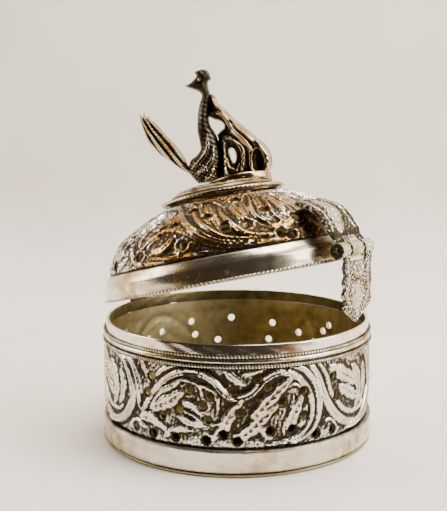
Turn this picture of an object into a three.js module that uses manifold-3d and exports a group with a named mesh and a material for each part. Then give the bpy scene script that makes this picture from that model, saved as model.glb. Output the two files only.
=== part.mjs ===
// Small round incense censer in repousse silver: a drum-shaped pierced base, a hinged domed pierced lid with a cast bird
// finial, a hanging hasp at the front, and a loose ember pan inside. Millimetres, +Z up, origin at the middle of the underside.
// The lid's hinge is at +Y and the hasp at -Y. The lid is drawn shut in its own group, and that group is turned open by
// LID_OPEN_DEG about the hinge pin, which is how the censer stands at rest; the hasp hangs plumb from its own pin.
import * as THREE from "three";
import { mergeVertices } from "three/addons/utils/BufferGeometryUtils.js";
import Module from "manifold-3d";

// ---- driving dimensions ----
const GAP = 0.3; // clearance kept between neighbouring pieces
const SEG = 48; // facets round the large rings

const BASE_H = 37.0; // top of the base's rim
const FLOOR_R = 41.6, FLOOR_T = 1.0;
const FOOT_R = 41.9, FOOT_TOP = 7.6;
const WALL_IN = 39.3, WALL_OUT = 40.3, RELIEF_OUT = 41.3; // wall sheet, and the crest of its chased relief
const RELIEF_LOW = 7.9, RELIEF_TOP = 30.2, WALL_TOP = 33.5;
const RIM_IN = 39.4, RIM_OUT = 40.6;
const HOLE_R = 1.25; // pierced holes

const SEAM = BASE_H + GAP; // underside of the shut lid
const LID_OUT = 40.6, LID_IN = 39.4;
const WIRE_MID = 41.4, WIRE_R = 0.5;
const LID_OPEN_DEG = 14.2; // how far the lid stands open at rest

const HINGE_Y = 42.4, HINGE_Z = 44.6; // lid hinge axis, along X, behind the top of the lid's plain band
const HINGE_R = 1.7, HINGE_PIN_R = 0.8, HINGE_BORE_R = 1.1;
const HINGE_HALF = 9.2, HINGE_MID = 2.9; // knuckles: middle one on the lid, outer two on the base

const HASP_RHO = 46.2, HASP_H = 2.7, HASP_X = -2.0; // hasp axis: distance from the centre line, height above the seam, and its middle
const HASP_R = 2.25, HASP_PIN_R = 0.9, HASP_BORE_R = 1.2;
const HASP_HALF = 7.3, HASP_MID = 2.9;
const LEAF_HALF = 7.0, LEAF_LEN = 20.2, LEAF_IN = 1.3, LEAF_OUT = 2.2;

const PAN_R = 36.8, PAN_H = 14.0;

const FINIAL_AT = [4.1, -4.7]; // middle of the finial's seat on the lid, off the centre line
const SEAT_R = 9.6, SEAT_T = 0.8;
const STUD_R = 1.4;
const BIRD_TURN_DEG = -47.5; // the bird's profile lies in a plane square to this bearing (0 is -Y, positive towards +X)

// Pierced holes of one wall motif, [bearing from -Y in degrees, height]; the motif repeats every 120 degrees.
const WALL_HOLES = [
  [-66.5, 24], [-58, 22.5], [-61, 19.8], [-49, 24], [-39.5, 27.5], [-35.5, 25], [-29.5, 20.5], [-20.5, 23], [-20.5, 16], [-25.5, 12.5], [-34.5, 12.5], [-46.5, 18], [-47.5, 10], [-52.9, 11.8], [-59.5, 10], [-70.5, 18], [-59, 15.6], [-72.5, 10], [-78.5, 15.5], [-83, 9.7], [-92.5, 10.5], [-85.5, 21.4], [-83.5, 26.2], [-14.5, 10], [-6, 10], [-6, 25.5], [-4, 19.5], [-104.5, 27], [-97.5, 19],
];
// Pierced holes of one lid motif, [bearing, radius]; the motif repeats every 90 degrees.
const LID_HOLES = [
  [-67.8, 25.0], [-56.8, 30.2], [-74.5, 31.4], [-48.4, 35], [-38.5, 35.2], [-26.4, 31.4], [-24.8, 37.5], [-67.7, 36.8], [-38.6, 22.9], [-91.3, 37.2], [-104.6, 35.3], [-111.1, 37.9],
];

// Plain band of the lid above its edge, then the chased dome.
const BAND_OUT = [[40.6, 4.6], [40.0, 5.8], [38.9, 7.6]], BAND_IN = [[39.4, 4.4], [38.8, 5.4], [37.7, 7.3]];
// Lid dome: outside profile from the band up to the shoulder, [radius, height above the seam], and its inside.
const DOME_OUT = [[38.7, 8.0], [36, 13.4], [34.0, 15.9], [31.4, 17.9], [27, 20.3], [22.8, 22.5], [19.6, 24.7]];
const DOME_IN = [[37.4, 7.7], [34.9, 12.7], [33.1, 14.9], [30.7, 16.7], [26.3, 19.1], [22.0, 21.4], [19.1, 23.4]];
const CAP_OUT = [[0, 30.1], [8, 30.0], [12.4, 29.5], [15, 28.3], [18.0, 26.1]];
const CAP_IN = [[17.2, 25.4], [14.4, 27.3], [12.0, 28.5], [7.9, 29.0], [0, 29.1]];

const rad = THREE.MathUtils.degToRad;
const wasm = await Module();
wasm.setup();

// ---- solids ----
// A closed three.js geometry as a manifold-3d solid, faces turned out.
function solid(geometry) {
  let g = geometry.clone();
  for (const name of ["normal", "uv"]) g.deleteAttribute(name);
  g = mergeVertices(g, 1e-4);
  let tri = new Uint32Array(g.index.array);
  let made = new wasm.Manifold(new wasm.Mesh({ numProp: 3, vertProperties: g.attributes.position.array, triVerts: tri }));
  if (made.volume() < 0) {
    tri = tri.slice();
    for (let i = 0; i < tri.length; i += 3) [tri[i], tri[i + 1]] = [tri[i + 1], tri[i]];
    made = new wasm.Manifold(new wasm.Mesh({ numProp: 3, vertProperties: g.attributes.position.array, triVerts: tri }));
  }
  return made;
}
function geometryOf(made) {
  const m = made.getMesh(), n = m.numProp;
  const p = new Float32Array(m.numVert * 3);
  for (let i = 0; i < m.numVert; i++) p.set(m.vertProperties.subarray(i * n, i * n + 3), i * 3);
  const g = new THREE.BufferGeometry().setAttribute("position", new THREE.BufferAttribute(p, 3)).setIndex(new THREE.BufferAttribute(new Uint32Array(m.triVerts), 1));
  g.computeVertexNormals();
  return g;
}
const join = (...s) => s.reduce((a, b) => a.add(b));

// A ring or solid of revolution about Z from [radius, height] points; a profile off the axis is closed on itself.
function turned(profile, seg = SEG) {
  const pts = profile.map(([r, z]) => new THREE.Vector2(r, z));
  if (profile[0][0] > 1e-6) pts.push(pts[0].clone());
  return solid(new THREE.LatheGeometry(pts, seg).rotateX(Math.PI / 2));
}
// A cylinder along X, Y or Z centred at a point.
function rod(r, length, axis, [x, y, z], seg = 20) {
  const g = new THREE.CylinderGeometry(r, r, length, seg);
  if (axis === "x") g.rotateZ(Math.PI / 2);
  if (axis === "z") g.rotateX(Math.PI / 2);
  return solid(g.translate(x, y, z));
}
const box = (sx, sy, sz, [x, y, z]) => solid(new THREE.BoxGeometry(sx, sy, sz).translate(x, y, z));
// Part of a flat-sided ring: bearings in degrees from -Y towards +X.
function arcBand(r0, r1, from, to, z0, z1) {
  const n = Math.max(2, Math.round(Math.abs(to - from) / 5)), pts = [];
  for (let i = 0; i <= n; i++) { const b = rad(from + ((to - from) * i) / n); pts.push(new THREE.Vector2(r1 * Math.sin(b), -r1 * Math.cos(b))); }
  for (let i = n; i >= 0; i--) { const b = rad(from + ((to - from) * i) / n); pts.push(new THREE.Vector2(r0 * Math.sin(b), -r0 * Math.cos(b))); }
  return solid(new THREE.ExtrudeGeometry(new THREE.Shape(pts), { depth: z1 - z0, bevelEnabled: false }).translate(0, 0, z0));
}
// Half-round wire bent to part of a circle.
class BentWire extends THREE.Curve {
  constructor(r, z, from, to) { super(); Object.assign(this, { r, z, from, to }); }
  getPoint(t, target = new THREE.Vector3()) {
    const b = rad(this.from + (this.to - this.from) * t);
    return target.set(this.r * Math.sin(b), -this.r * Math.cos(b), this.z);
  }
}
function wire(r, z, section, from, to, sides = 5) {
  const s = new THREE.Shape(Array.from({ length: sides }, (_, i) => new THREE.Vector2(section * Math.cos((2 * Math.PI * i) / sides), section * Math.sin((2 * Math.PI * i) / sides))));
  const path = new BentWire(r, z, from, to);
  return solid(new THREE.ExtrudeGeometry(s, { steps: Math.round(Math.abs(to - from) / 7.5), extrudePath: path, bevelEnabled: false }));
}
// An outline in [across, up] extruded to a thickness about its middle plane, its face square to Y.
function plate(outline, thickness, bevel = 0) {
  const shape = new THREE.Shape(outline.map(([x, y]) => new THREE.Vector2(x, y)));
  const g = new THREE.ExtrudeGeometry(shape, { depth: thickness - 2 * bevel, bevelEnabled: bevel > 0, bevelThickness: bevel, bevelSize: bevel, bevelOffset: -bevel, bevelSegments: 1 });
  return g.translate(0, 0, -thickness / 2 + bevel).rotateX(Math.PI / 2);
}

// ---- materials ----
const metal = (color, roughness) => new THREE.MeshStandardMaterial({ color, roughness, metalness: 1 });
const silver = metal("#c9c6bd", 0.3), dullSilver = metal("#a9a494", 0.42), agedSilver = metal("#8d8470", 0.38);
const darkSilver = metal("#5b5038", 0.35), oliveSilver = metal("#736743", 0.5), steel = metal("#8b8b88", 0.4);

const censer = new THREE.Group();
censer.name = "censer";
const base = new THREE.Group(), lid = new THREE.Group(), lidTurn = new THREE.Group(), haspTurn = new THREE.Group();
censer.add(base, lidTurn);
lidTurn.position.set(0, HINGE_Y, HINGE_Z);
lidTurn.rotation.x = -rad(LID_OPEN_DEG);
lid.position.set(0, -HINGE_Y, -HINGE_Z);
lidTurn.add(lid);
haspTurn.position.set(HASP_X, -HASP_RHO, SEAM + HASP_H);
haspTurn.rotation.x = rad(LID_OPEN_DEG);
lid.add(haspTurn);
function put(group, name, made, material) {
  const m = new THREE.Mesh(made.isBufferGeometry ? made : geometryOf(made), material);
  m.name = name;
  group.add(m);
  return m;
}

// ---- base ----
put(base, "base_floor", turned([[0, 0], [FLOOR_R - 0.4, 0], [FLOOR_R, 0.4], [FLOOR_R, FLOOR_T], [0, FLOOR_T]]), silver);
let wall = turned([
  [WALL_IN, FLOOR_T + GAP], [WALL_OUT - 0.1, FLOOR_T + GAP], [WALL_OUT - 0.1, RELIEF_LOW], [RELIEF_OUT - 0.3, RELIEF_LOW], [RELIEF_OUT, RELIEF_LOW + 0.8],
  [RELIEF_OUT, RELIEF_TOP - 0.8], [RELIEF_OUT - 0.3, RELIEF_TOP], [WALL_OUT, RELIEF_TOP], [WALL_OUT, WALL_TOP], [WALL_IN, WALL_TOP],
]);
const drills = [];
for (let k = 0; k < 3; k++)
  for (const [b, z] of WALL_HOLES) {
    const g = new THREE.CylinderGeometry(HOLE_R, HOLE_R, 6, 6).translate(0, -40.5, 0).rotateZ(rad(b + 120 * k)).translate(0, 0, z);
    drills.push(solid(g));
  }
wall = wall.subtract(join(...drills));
put(base, "base_wall", wall, dullSilver);
put(base, "foot_band", turned([[WALL_OUT + 0.2, FLOOR_T + GAP], [FOOT_R, FLOOR_T + GAP], [FOOT_R, FOOT_TOP - 0.3], [FOOT_R - 0.3, FOOT_TOP], [WALL_OUT + 0.2, FOOT_TOP]]), silver);
const REAR = 16; // half angle of the space left at the back for the hinge leaf
put(base, "lower_bead", wire(41.15, 31.0, 0.5, REAR - 180, 180 - REAR), silver);
put(base, "step_band", arcBand(WALL_OUT + GAP, WALL_OUT + 0.9, REAR - 180, 180 - REAR, 31.85, 33.1), dullSilver);
put(base, "upper_bead", wire(41.05, 33.75, 0.42, REAR - 180, 180 - REAR), silver);
put(base, "rim_band", turned([[RIM_IN, WALL_TOP + GAP], [RIM_OUT - 0.25, WALL_TOP + GAP], [RIM_OUT, 34.8], [RIM_OUT, BASE_H - 0.3], [RIM_OUT - 0.3, BASE_H], [RIM_IN, BASE_H]]), silver);

// Lid hinge: knuckles along X on one axis, each leaf notched where the other's knuckle turns.
const knuckle = (r, x0, x1, y, z) => rod(r, x1 - x0, "x", [(x0 + x1) / 2, y, z]);
const HINGE_C = [HINGE_Y, HINGE_Z];
// A strip bent to a line of [distance from the centre line, height above the seam] and drawn out along X, on the side given by sign.
function strip(line, half, width, sign) {
  const side = (s) => line.map(([r, h], i) => {
    const a = line[Math.max(0, i - 1)], b = line[Math.min(line.length - 1, i + 1)];
    const d = Math.hypot(b[0] - a[0], b[1] - a[1]);
    return [r + (s * half * (b[1] - a[1])) / d, h - (s * half * (b[0] - a[0])) / d];
  });
  const ring = [...side(1), ...side(-1).reverse()].map(([r, h]) => new THREE.Vector2(r, h));
  const turn = new THREE.Matrix4().set(0, 0, 1, 0, sign, 0, 0, 0, 0, 1, 0, SEAM, 0, 0, 0, 1);
  return solid(new THREE.ExtrudeGeometry(new THREE.Shape(ring), { depth: 2 * width, bevelEnabled: false }).translate(0, 0, -width).applyMatrix4(turn));
}
{
  const leafLow = arcBand(RIM_OUT + GAP, RIM_OUT + 1.2, 180 - 12.9, 180 + 12.9, 30.8, HINGE_Z - 0.5);
  let leaf = join(leafLow, knuckle(HINGE_R, -HINGE_HALF, HINGE_HALF, ...HINGE_C));
  leaf = leaf.subtract(knuckle(HINGE_R + GAP, -HINGE_MID - GAP, HINGE_MID + GAP, ...HINGE_C));
  leaf = leaf.subtract(rod(HINGE_BORE_R, 40, "x", [0, ...HINGE_C]));
  put(base, "hinge_leaf_base", leaf, dullSilver);
  put(base, "hinge_pin", join(rod(HINGE_PIN_R, 2 * HINGE_HALF + 0.8, "x", [0, ...HINGE_C], 16), rod(1.15, 0.5, "x", [-HINGE_HALF - 0.6, ...HINGE_C], 16), rod(1.15, 0.5, "x", [HINGE_HALF + 0.6, ...HINGE_C], 16)), steel);
  const up = strip([[41.4, 8.3], [39.9, 9.2], [38.5, 11.2], [36.9, 14.1], [34.9, 16.3]], 0.4, HINGE_HALF - 0.2, 1);
  let leaf2 = up.subtract(knuckle(HINGE_R + GAP, -HINGE_HALF - 1, HINGE_HALF + 1, ...HINGE_C));
  leaf2 = join(leaf2, up.intersect(box(2 * HINGE_MID, 100, 100, [0, 50, 60])), knuckle(HINGE_R, -HINGE_MID, HINGE_MID, ...HINGE_C)).subtract(rod(HINGE_BORE_R, 40, "x", [0, ...HINGE_C]));
  put(lid, "hinge_leaf_lid", leaf2, dullSilver);
}

// ---- loose ember pan ----
const P0 = FLOOR_T + GAP;
put(base, "ember_pan", turned([
  [0, P0 + 1.6], [22, P0 + 1.6], [23.5, P0], [25.5, P0], [27, P0 + 1.8], [32, P0 + 4], [PAN_R - 0.6, PAN_H - 1.2], [PAN_R, PAN_H - 0.8], [PAN_R, PAN_H], [PAN_R - 1.6, PAN_H],
  [31, P0 + 5.2], [26, P0 + 2.9], [0, P0 + 2.7],
], 36), agedSilver);

// ---- lid ----
put(lid, "lid_rim_band", turned([[LID_IN, SEAM], [LID_OUT - 0.2, SEAM], [LID_OUT, SEAM + 0.2], ...BAND_OUT.map(([r, h]) => [r, h + SEAM]), ...BAND_IN.map(([r, h]) => [r, h + SEAM]).reverse()]), silver);
put(lid, "lid_rope_wire", wire(WIRE_MID, SEAM + 0.6, WIRE_R, REAR - 180, 180 - REAR), silver);
const lift = (p) => p.map(([r, z]) => [r, z + SEAM]);
let dome = turned([...lift(DOME_OUT), ...lift(DOME_IN).reverse()]);
const punches = [];
for (let k = 0; k < 4; k++)
  for (const [b, r] of LID_HOLES) {
    // each hole is drilled square to the dome's slope at its radius
    let i = 1;
    while (i < DOME_OUT.length - 1 && DOME_OUT[i][0] > r) i++;
    const [ra, za] = DOME_OUT[i - 1], [rb, zb] = DOME_OUT[i], t = (ra - r) / (ra - rb);
    const tilt = Math.atan2(ra - rb, zb - za), z = za + (zb - za) * t;
    const g = new THREE.CylinderGeometry(HOLE_R + 0.1, HOLE_R + 0.1, 6, 6).rotateX(-tilt).translate(0, -r, z + SEAM).rotateZ(rad(b + 90 * k));
    punches.push(solid(g));
  }
dome = dome.subtract(join(...punches));
put(lid, "lid_dome", dome, agedSilver);
put(lid, "shoulder_ring", turned(Array.from({ length: 6 }, (_, i) => [18.8 + 0.5 * Math.cos((i * Math.PI) / 3), SEAM + 26.35 + 0.5 * Math.sin((i * Math.PI) / 3)])), silver);
const [FX, FY] = FINIAL_AT;
const studHole = rod(STUD_R + GAP, 40, "z", [FX, FY, SEAM + 32], 16);
put(lid, "lid_cap", turned([...lift(CAP_IN).reverse(), ...lift(CAP_OUT).reverse()]).subtract(studHole), agedSilver);
put(lid, "finial_seat", solid(new THREE.CylinderGeometry(SEAT_R - 0.2, SEAT_R, SEAT_T, 40).rotateX(Math.PI / 2).translate(FX, FY, SEAM + 30.1 + GAP + SEAT_T / 2)).subtract(studHole), agedSilver);
const SEAT_TOP = SEAM + 30.1 + GAP + SEAT_T;
put(lid, "finial_stud", rod(STUD_R, 12.2, "z", [FX, FY, SEAT_TOP + 4 - 6.1], 14), steel);
put(lid, "finial_washer", turned([[STUD_R + GAP, 0], [3.4, 0], [3.4, 0.6], [STUD_R + GAP, 0.6]], 24).translate([FX, FY, SEAM + 28.85 - 0.65]), steel);
put(lid, "finial_nut", solid(new THREE.CylinderGeometry(2.9, 2.9, 2.0, 6).rotateX(Math.PI / 2).translate(FX, FY, SEAM + 28.85 - 0.65 - GAP - 1.0)).subtract(studHole), steel);

// ---- cast bird finial: outlines in [across, up] from the middle of its foot; it stands plumb with the lid open at rest ----
const BODY = [
  [-16.1, 28.8], [-14.8, 29.5], [-13.3, 30.8], [-12.6, 31.9], [-13.1, 33.0], [-12, 33.6], [-10.5, 33.9], [-8.9, 33.3], [-8.3, 31.9], [-8.0, 30.9], [-8.9, 30], [-8.8, 28.4],
  [-8.4, 26.3], [-8.8, 23.4], [-9.1, 20.6], [-9.2, 18], [-8.6, 16.1], [-7.5, 14.4], [-6.6, 12.2], [-5.9, 9.7], [-5.6, 6.6], [-6.0, 3.4], [-6.7, -2.4],
  [-10.8, -2.4], [-14.2, 1.1], [-14.8, 2.8], [-14.2, 5.6], [-12.3, 7.2], [-11.4, 9.1], [-11.7, 11.6], [-12.3, 14.7], [-12.3, 19.1], [-11.7, 22.8], [-10.9, 25.3], [-12, 27.2], [-13.6, 27.8],
];
const PLUME = [
  [-7.7, 25.8], [-6.7, 25.9], [-5.6, 24.8], [-4.8, 23.1], [-3, 20.6], [-0.8, 18.4], [1.7, 16.4], [4.5, 14.1], [6.7, 12.2], [8.6, 10.8], [10.2, 8.4], [10.9, 5.9], [10.5, 3.4], [9.5, 1.6],
  [8.9, -2.4], [-5.9, -2.4], [-5.2, 3.4], [-4.8, 6.6], [-5.1, 9.7], [-5.9, 12.3], [-6.2, 13.5], [-5.2, 14.7], [-4.1, 15.9], [-4.8, 17.3], [-6.6, 18.4], [-8.2, 19.4], [-8.2, 21.6], [-7.9, 23.4],
];
const PLUME_HOLE = [[-2.5, 8.8], [-1.4, 9.2], [-0.6, 7.8], [-0.5, 5.9], [-1.1, 5], [-2, 6.6]];
const TAIL = [
  [-15.4, 1.7], [-18.6, 3.6], [-21.1, 5.5], [-24.2, 7.7], [-27.3, 11.1], [-28.6, 13.9], [-29.9, 18.1], [-29.8, 19.7], [-29.2, 20.2], [-28, 20], [-27, 18.8], [-25.8, 17.5],
  [-24.2, 15.9], [-22, 13.4], [-18.6, 9.7], [-16.1, 6.1], [-15.2, 4.1],
];
// The foot of the bird: the seat's middle carried round the hinge by the rest opening.
const hingeTurn = (y, z) => { const a = -rad(LID_OPEN_DEG), dy = y - HINGE_Y, dz = z - HINGE_Z; return [HINGE_Y + dy * Math.cos(a) - dz * Math.sin(a), HINGE_Z + dy * Math.sin(a) + dz * Math.cos(a)]; };
const [footY, footZ] = hingeTurn(FY, SEAT_TOP);
const FOOT_SHIFT = [-0.8, -0.6]; // across and up, from the middle of the seat to the middle of the bird's foot
const place = (g) => g.translate(FOOT_SHIFT[0], 0, FOOT_SHIFT[1]).rotateZ(rad(BIRD_TURN_DEG)).translate(FX, footY, footZ);
// What the bird must clear: the half space under its seat, and its stud, both turned with the lid.
const turnedWithLid = (g) => g.translate(0, -HINGE_Y, -HINGE_Z).rotateX(-rad(LID_OPEN_DEG)).translate(0, HINGE_Y, HINGE_Z);
const underSeat = solid(turnedWithLid(new THREE.BoxGeometry(120, 120, 20).translate(0, 0, SEAT_TOP + GAP - 10)));
const studSocket = solid(turnedWithLid(new THREE.CylinderGeometry(STUD_R + GAP, STUD_R + GAP, 9.2, 14).rotateX(Math.PI / 2).translate(FX, FY, SEAT_TOP)));
put(censer, "bird_body", solid(place(plate(BODY, 7, 0.4))).subtract(underSeat), darkSilver);
put(censer, "bird_back_plume", solid(place(plate(PLUME, 8, 0.4))).subtract(solid(place(plate(PLUME_HOLE, 20)))).subtract(underSeat).subtract(studSocket), darkSilver);
put(censer, "bird_tail_feathers", solid(place(plate(TAIL, 7, 0.5))), darkSilver);

// ---- hasp ----
const HASP_C = [-HASP_RHO, SEAM + HASP_H];
{
  // Strap: a bent strip from the middle knuckle up over the dome.
  const strap = strip([[45.4, 4.25], [45.1, 6.0], [44.1, 8.6], [42.8, 11.4], [41.2, 14.0], [39.2, 15.6], [36.6, 16.9], [34.2, 17.9], [33.2, 18.4]], 0.5, LEAF_HALF, -1);
  let s = strap.subtract(knuckle(HASP_R + GAP, -HASP_HALF - 1, HASP_HALF + 1, ...HASP_C));
  const neck = strap.intersect(box(2 * HASP_MID, 100, 100, [0, -50, 60]));
  s = join(s, neck, knuckle(HASP_R, -HASP_MID, HASP_MID, ...HASP_C)).subtract(rod(HASP_BORE_R, 40, "x", [0, ...HASP_C]));
  put(lid, "hasp_strap", s.translate([HASP_X, 0, 0]), silver);
  put(lid, "hasp_pin", rod(HASP_PIN_R, 2 * HASP_HALF + 0.4, "x", [HASP_X, ...HASP_C], 16), steel);
  // Leaf: outer knuckles and a pointed plate on the barrel's outer side, drawn plumb about its own axis.
  const w = LEAF_HALF, L = LEAF_LEN;
  const outline = [[w - 0.4, 0.4], [w, -2.6], [w - 0.3, -5.6], [w, -8.8], [w - 0.3, -12], [w - 0.1, -14.6], [w - 1.4, -16.4], [3.6, -18.2], [1.8, -19.2], [0, -L],
    [-2.0, -19.1], [-4.0, -17.8], [-w + 1.4, -16.2], [-w + 0.1, -14.8], [-w + 0.4, -12], [-w, -9.0], [-w + 0.3, -5.6], [-w, -2.6], [-w + 0.4, 0.4]];
  let leaf = solid(plate(outline, LEAF_OUT - LEAF_IN).translate(0, -(LEAF_IN + LEAF_OUT) / 2, 0));
  leaf = join(leaf, rod(HASP_R, 2 * HASP_HALF, "x", [0, 0, 0]));
  leaf = leaf.subtract(rod(HASP_R + GAP, 2 * (HASP_MID + GAP), "x", [0, 0, 0])).subtract(rod(HASP_BORE_R, 40, "x", [0, 0, 0]));
  put(haspTurn, "hasp_leaf", leaf, silver);
}

export default censer;
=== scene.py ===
import math

import bmesh
import bpy
import numpy as np
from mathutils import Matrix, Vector


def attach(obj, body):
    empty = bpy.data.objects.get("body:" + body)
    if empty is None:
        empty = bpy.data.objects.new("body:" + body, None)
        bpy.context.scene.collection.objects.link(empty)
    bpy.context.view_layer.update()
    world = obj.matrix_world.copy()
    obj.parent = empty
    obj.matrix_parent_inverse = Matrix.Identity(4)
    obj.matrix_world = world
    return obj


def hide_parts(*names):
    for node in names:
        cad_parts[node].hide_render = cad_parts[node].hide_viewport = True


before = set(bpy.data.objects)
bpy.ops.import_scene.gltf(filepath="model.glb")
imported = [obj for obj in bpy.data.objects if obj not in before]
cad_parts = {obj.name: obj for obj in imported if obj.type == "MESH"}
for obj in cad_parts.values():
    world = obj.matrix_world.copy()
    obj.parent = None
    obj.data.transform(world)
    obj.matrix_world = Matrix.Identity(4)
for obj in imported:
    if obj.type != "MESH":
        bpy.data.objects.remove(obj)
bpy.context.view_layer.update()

# ---------------------------------------------------------------- dimensions, millimetres
BASE_H, SEAM = 37.0, 37.3
HINGE_Y, HINGE_Z = 42.4, 44.6
OPEN = math.radians(14.2)
FINIAL = (4.1, -4.7)
SEAT_TOP = SEAM + 31.2
HASP_X, HASP_RHO, HASP_H = -2.0, 46.2, 2.7
WALL_HOLES = [[-66.5, 24], [-58, 22.5], [-61, 19.8], [-49, 24], [-39.5, 27.5], [-35.5, 25], [-29.5, 20.5], [-20.5, 23], [-20.5, 16], [-25.5, 12.5], [-34.5, 12.5], [-46.5, 18], [-47.5, 10], [-52.9, 11.8], [-59.5, 10], [-70.5, 18], [-59, 15.6], [-72.5, 10], [-78.5, 15.5], [-83, 9.7], [-92.5, 10.5], [-85.5, 21.4], [-83.5, 26.2], [-14.5, 10], [-6, 10], [-6, 25.5], [-4, 19.5], [-104.5, 27], [-97.5, 19]]
LID_HOLES = [[-67.8, 25.0], [-56.8, 30.2], [-74.5, 31.4], [-48.4, 35], [-38.5, 35.2], [-26.4, 31.4], [-24.8, 37.5], [-67.7, 36.8], [-38.6, 22.9], [-91.3, 37.2], [-104.6, 35.3], [-111.1, 37.9]]
DOME = np.array([[38.7, 8.0], [36, 13.4], [34.0, 15.9], [31.4, 17.9], [27, 20.3], [22.8, 22.5], [19.6, 24.7]], float)
CAP = np.array([[18.0, 26.1], [15, 28.3], [12.4, 29.5], [8, 30.0], [0, 30.1]], float)
rng = np.random.default_rng(7)


# ---------------------------------------------------------------- mesh helpers
def lid_rest(p):
    """Points of the shut lid carried to where the lid stands at rest."""
    p = np.asarray(p, float)
    y, z = p[..., 1] - HINGE_Y, p[..., 2] - HINGE_Z
    c, s = math.cos(OPEN), math.sin(OPEN)
    return np.stack([p[..., 0], HINGE_Y + y * c + z * s, HINGE_Z - y * s + z * c], -1)


def hasp_rest(p):
    """Points drawn about the hasp's own axis (x along the pin, y inwards, z up) carried to where the hasp hangs."""
    c = lid_rest([[HASP_X, -HASP_RHO, SEAM + HASP_H]])[0]
    return np.asarray(p, float) + c


def build(name, verts, quads, tris, mat, body, node, cav=None, inside=None, sharp=50, weld=0.0, cuts=()):
    verts = np.asarray(verts, float)
    quads = np.asarray(quads, np.int64).reshape(-1, 4)
    tris = np.asarray(tris, np.int64).reshape(-1, 3)
    used = np.unique(np.concatenate([quads.ravel(), tris.ravel()]))
    back = np.full(len(verts), -1, np.int64)
    back[used] = np.arange(len(used))
    me = bpy.data.meshes.new(name)
    co = verts[used] * 0.001
    me.vertices.add(len(co))
    me.vertices.foreach_set("co", co.ravel())
    loops = np.concatenate([back[quads].ravel(), back[tris].ravel()]).astype(np.int32)
    starts = np.concatenate([np.arange(len(quads)) * 4, len(quads) * 4 + np.arange(len(tris)) * 3]).astype(np.int32)
    me.loops.add(len(loops))
    me.loops.foreach_set("vertex_index", loops)
    me.polygons.add(len(starts))
    me.polygons.foreach_set("loop_start", starts)
    me.update(calc_edges=True)
    me.validate()
    for key, val in (("cav", cav), ("ins", inside)):
        a = me.attributes.new(key, "FLOAT", "POINT")
        vals = np.zeros(len(co)) if val is None else np.asarray(val, float).ravel()[used]
        a.data.foreach_set("value", vals.astype(np.float32))
    bm = bmesh.new()
    bm.from_mesh(me)
    if weld:
        bmesh.ops.remove_doubles(bm, verts=bm.verts, dist=weld * 0.001)
        bmesh.ops.dissolve_degenerate(bm, dist=1e-7, edges=bm.edges)
    for point, normal in cuts:
        geom = list(bm.verts) + list(bm.edges) + list(bm.faces)
        bmesh.ops.bisect_plane(bm, geom=geom, plane_co=Vector(point) * 0.001, plane_no=Vector(normal), clear_inner=True)
        open_edges = [e for e in bm.edges if e.is_boundary]
        bmesh.ops.holes_fill(bm, edges=open_edges, sides=0)
        big = [f for f in bm.faces if len(f.verts) > 4]
        if big:
            bmesh.ops.triangulate(bm, faces=big)
    bmesh.ops.recalc_face_normals(bm, faces=bm.faces)
    bm.to_mesh(me)
    bm.free()
    me.shade_smooth()
    me.set_sharp_from_angle(angle=math.radians(sharp))
    ob = bpy.data.objects.new(name, me)
    bpy.context.scene.collection.objects.link(ob)
    me.materials.append(mat)
    if body:
        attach(ob, body)
        if node:
            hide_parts(node)
    return ob


def boundary(quads, n):
    e = np.concatenate([quads[:, [k, (k + 1) % 4]] for k in range(4)])
    key, rev = e[:, 0] * n + e[:, 1], e[:, 1] * n + e[:, 0]
    return e[~np.isin(key, rev)]


def close_shell(quads, n):
    """Two sheets, outer and inner, with the same quads, joined along every open edge."""
    e = boundary(quads, n)
    sides = np.stack([e[:, 1], e[:, 0], e[:, 0] + n, e[:, 1] + n], -1)
    return np.concatenate([quads, quads[:, ::-1] + n, sides])


def grid_quads(nu, nv, wrap):
    cols = nu if wrap else nu + 1
    i, j = np.meshgrid(np.arange(nu), np.arange(nv))
    i, j = i.ravel(), j.ravel()
    k = (i + 1) % cols if wrap else i + 1
    return np.stack([j * cols + i, j * cols + k, (j + 1) * cols + k, (j + 1) * cols + i], -1)


def smooth_line(pts, per=8, closed=False):
    p = np.asarray(pts, float)
    if closed:
        p = np.concatenate([p[-1:], p, p[:2]])
    else:
        p = np.concatenate([2 * p[:1] - p[1:2], p, 2 * p[-1:] - p[-2:-1]])
    out = []
    for k in range(1, len(p) - 2):
        for t in np.arange(per) / per:
            a, b, c, d = p[k - 1], p[k], p[k + 1], p[k + 2]
            out.append(0.5 * (2 * b + (c - a) * t + (2 * a - 5 * b + 4 * c - d) * t * t + (3 * b - a - 3 * c + d) * t ** 3))
    if not closed:
        out.append(p[-2])
    return np.array(out)


def near(x, y, line):
    """Distance from each point to a polyline, which side it lies on, and how far along it is (0 to 1)."""
    best = np.full(x.shape, 1e9)
    side = np.zeros(x.shape)
    along = np.zeros(x.shape)
    n = len(line) - 1
    for k in range(n):
        ax, ay = line[k]
        bx, by = line[k + 1]
        dx, dy = bx - ax, by - ay
        q = dx * dx + dy * dy + 1e-12
        t = np.clip(((x - ax) * dx + (y - ay) * dy) / q, 0, 1)
        ex, ey = x - ax - t * dx, y - ay - t * dy
        d = np.hypot(ex, ey)
        m = d < best
        best[m] = d[m]
        side[m] = np.sign(dx * ey - dy * ex)[m]
        along[m] = ((k + t) / n)[m]
    return best, side, along


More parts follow.
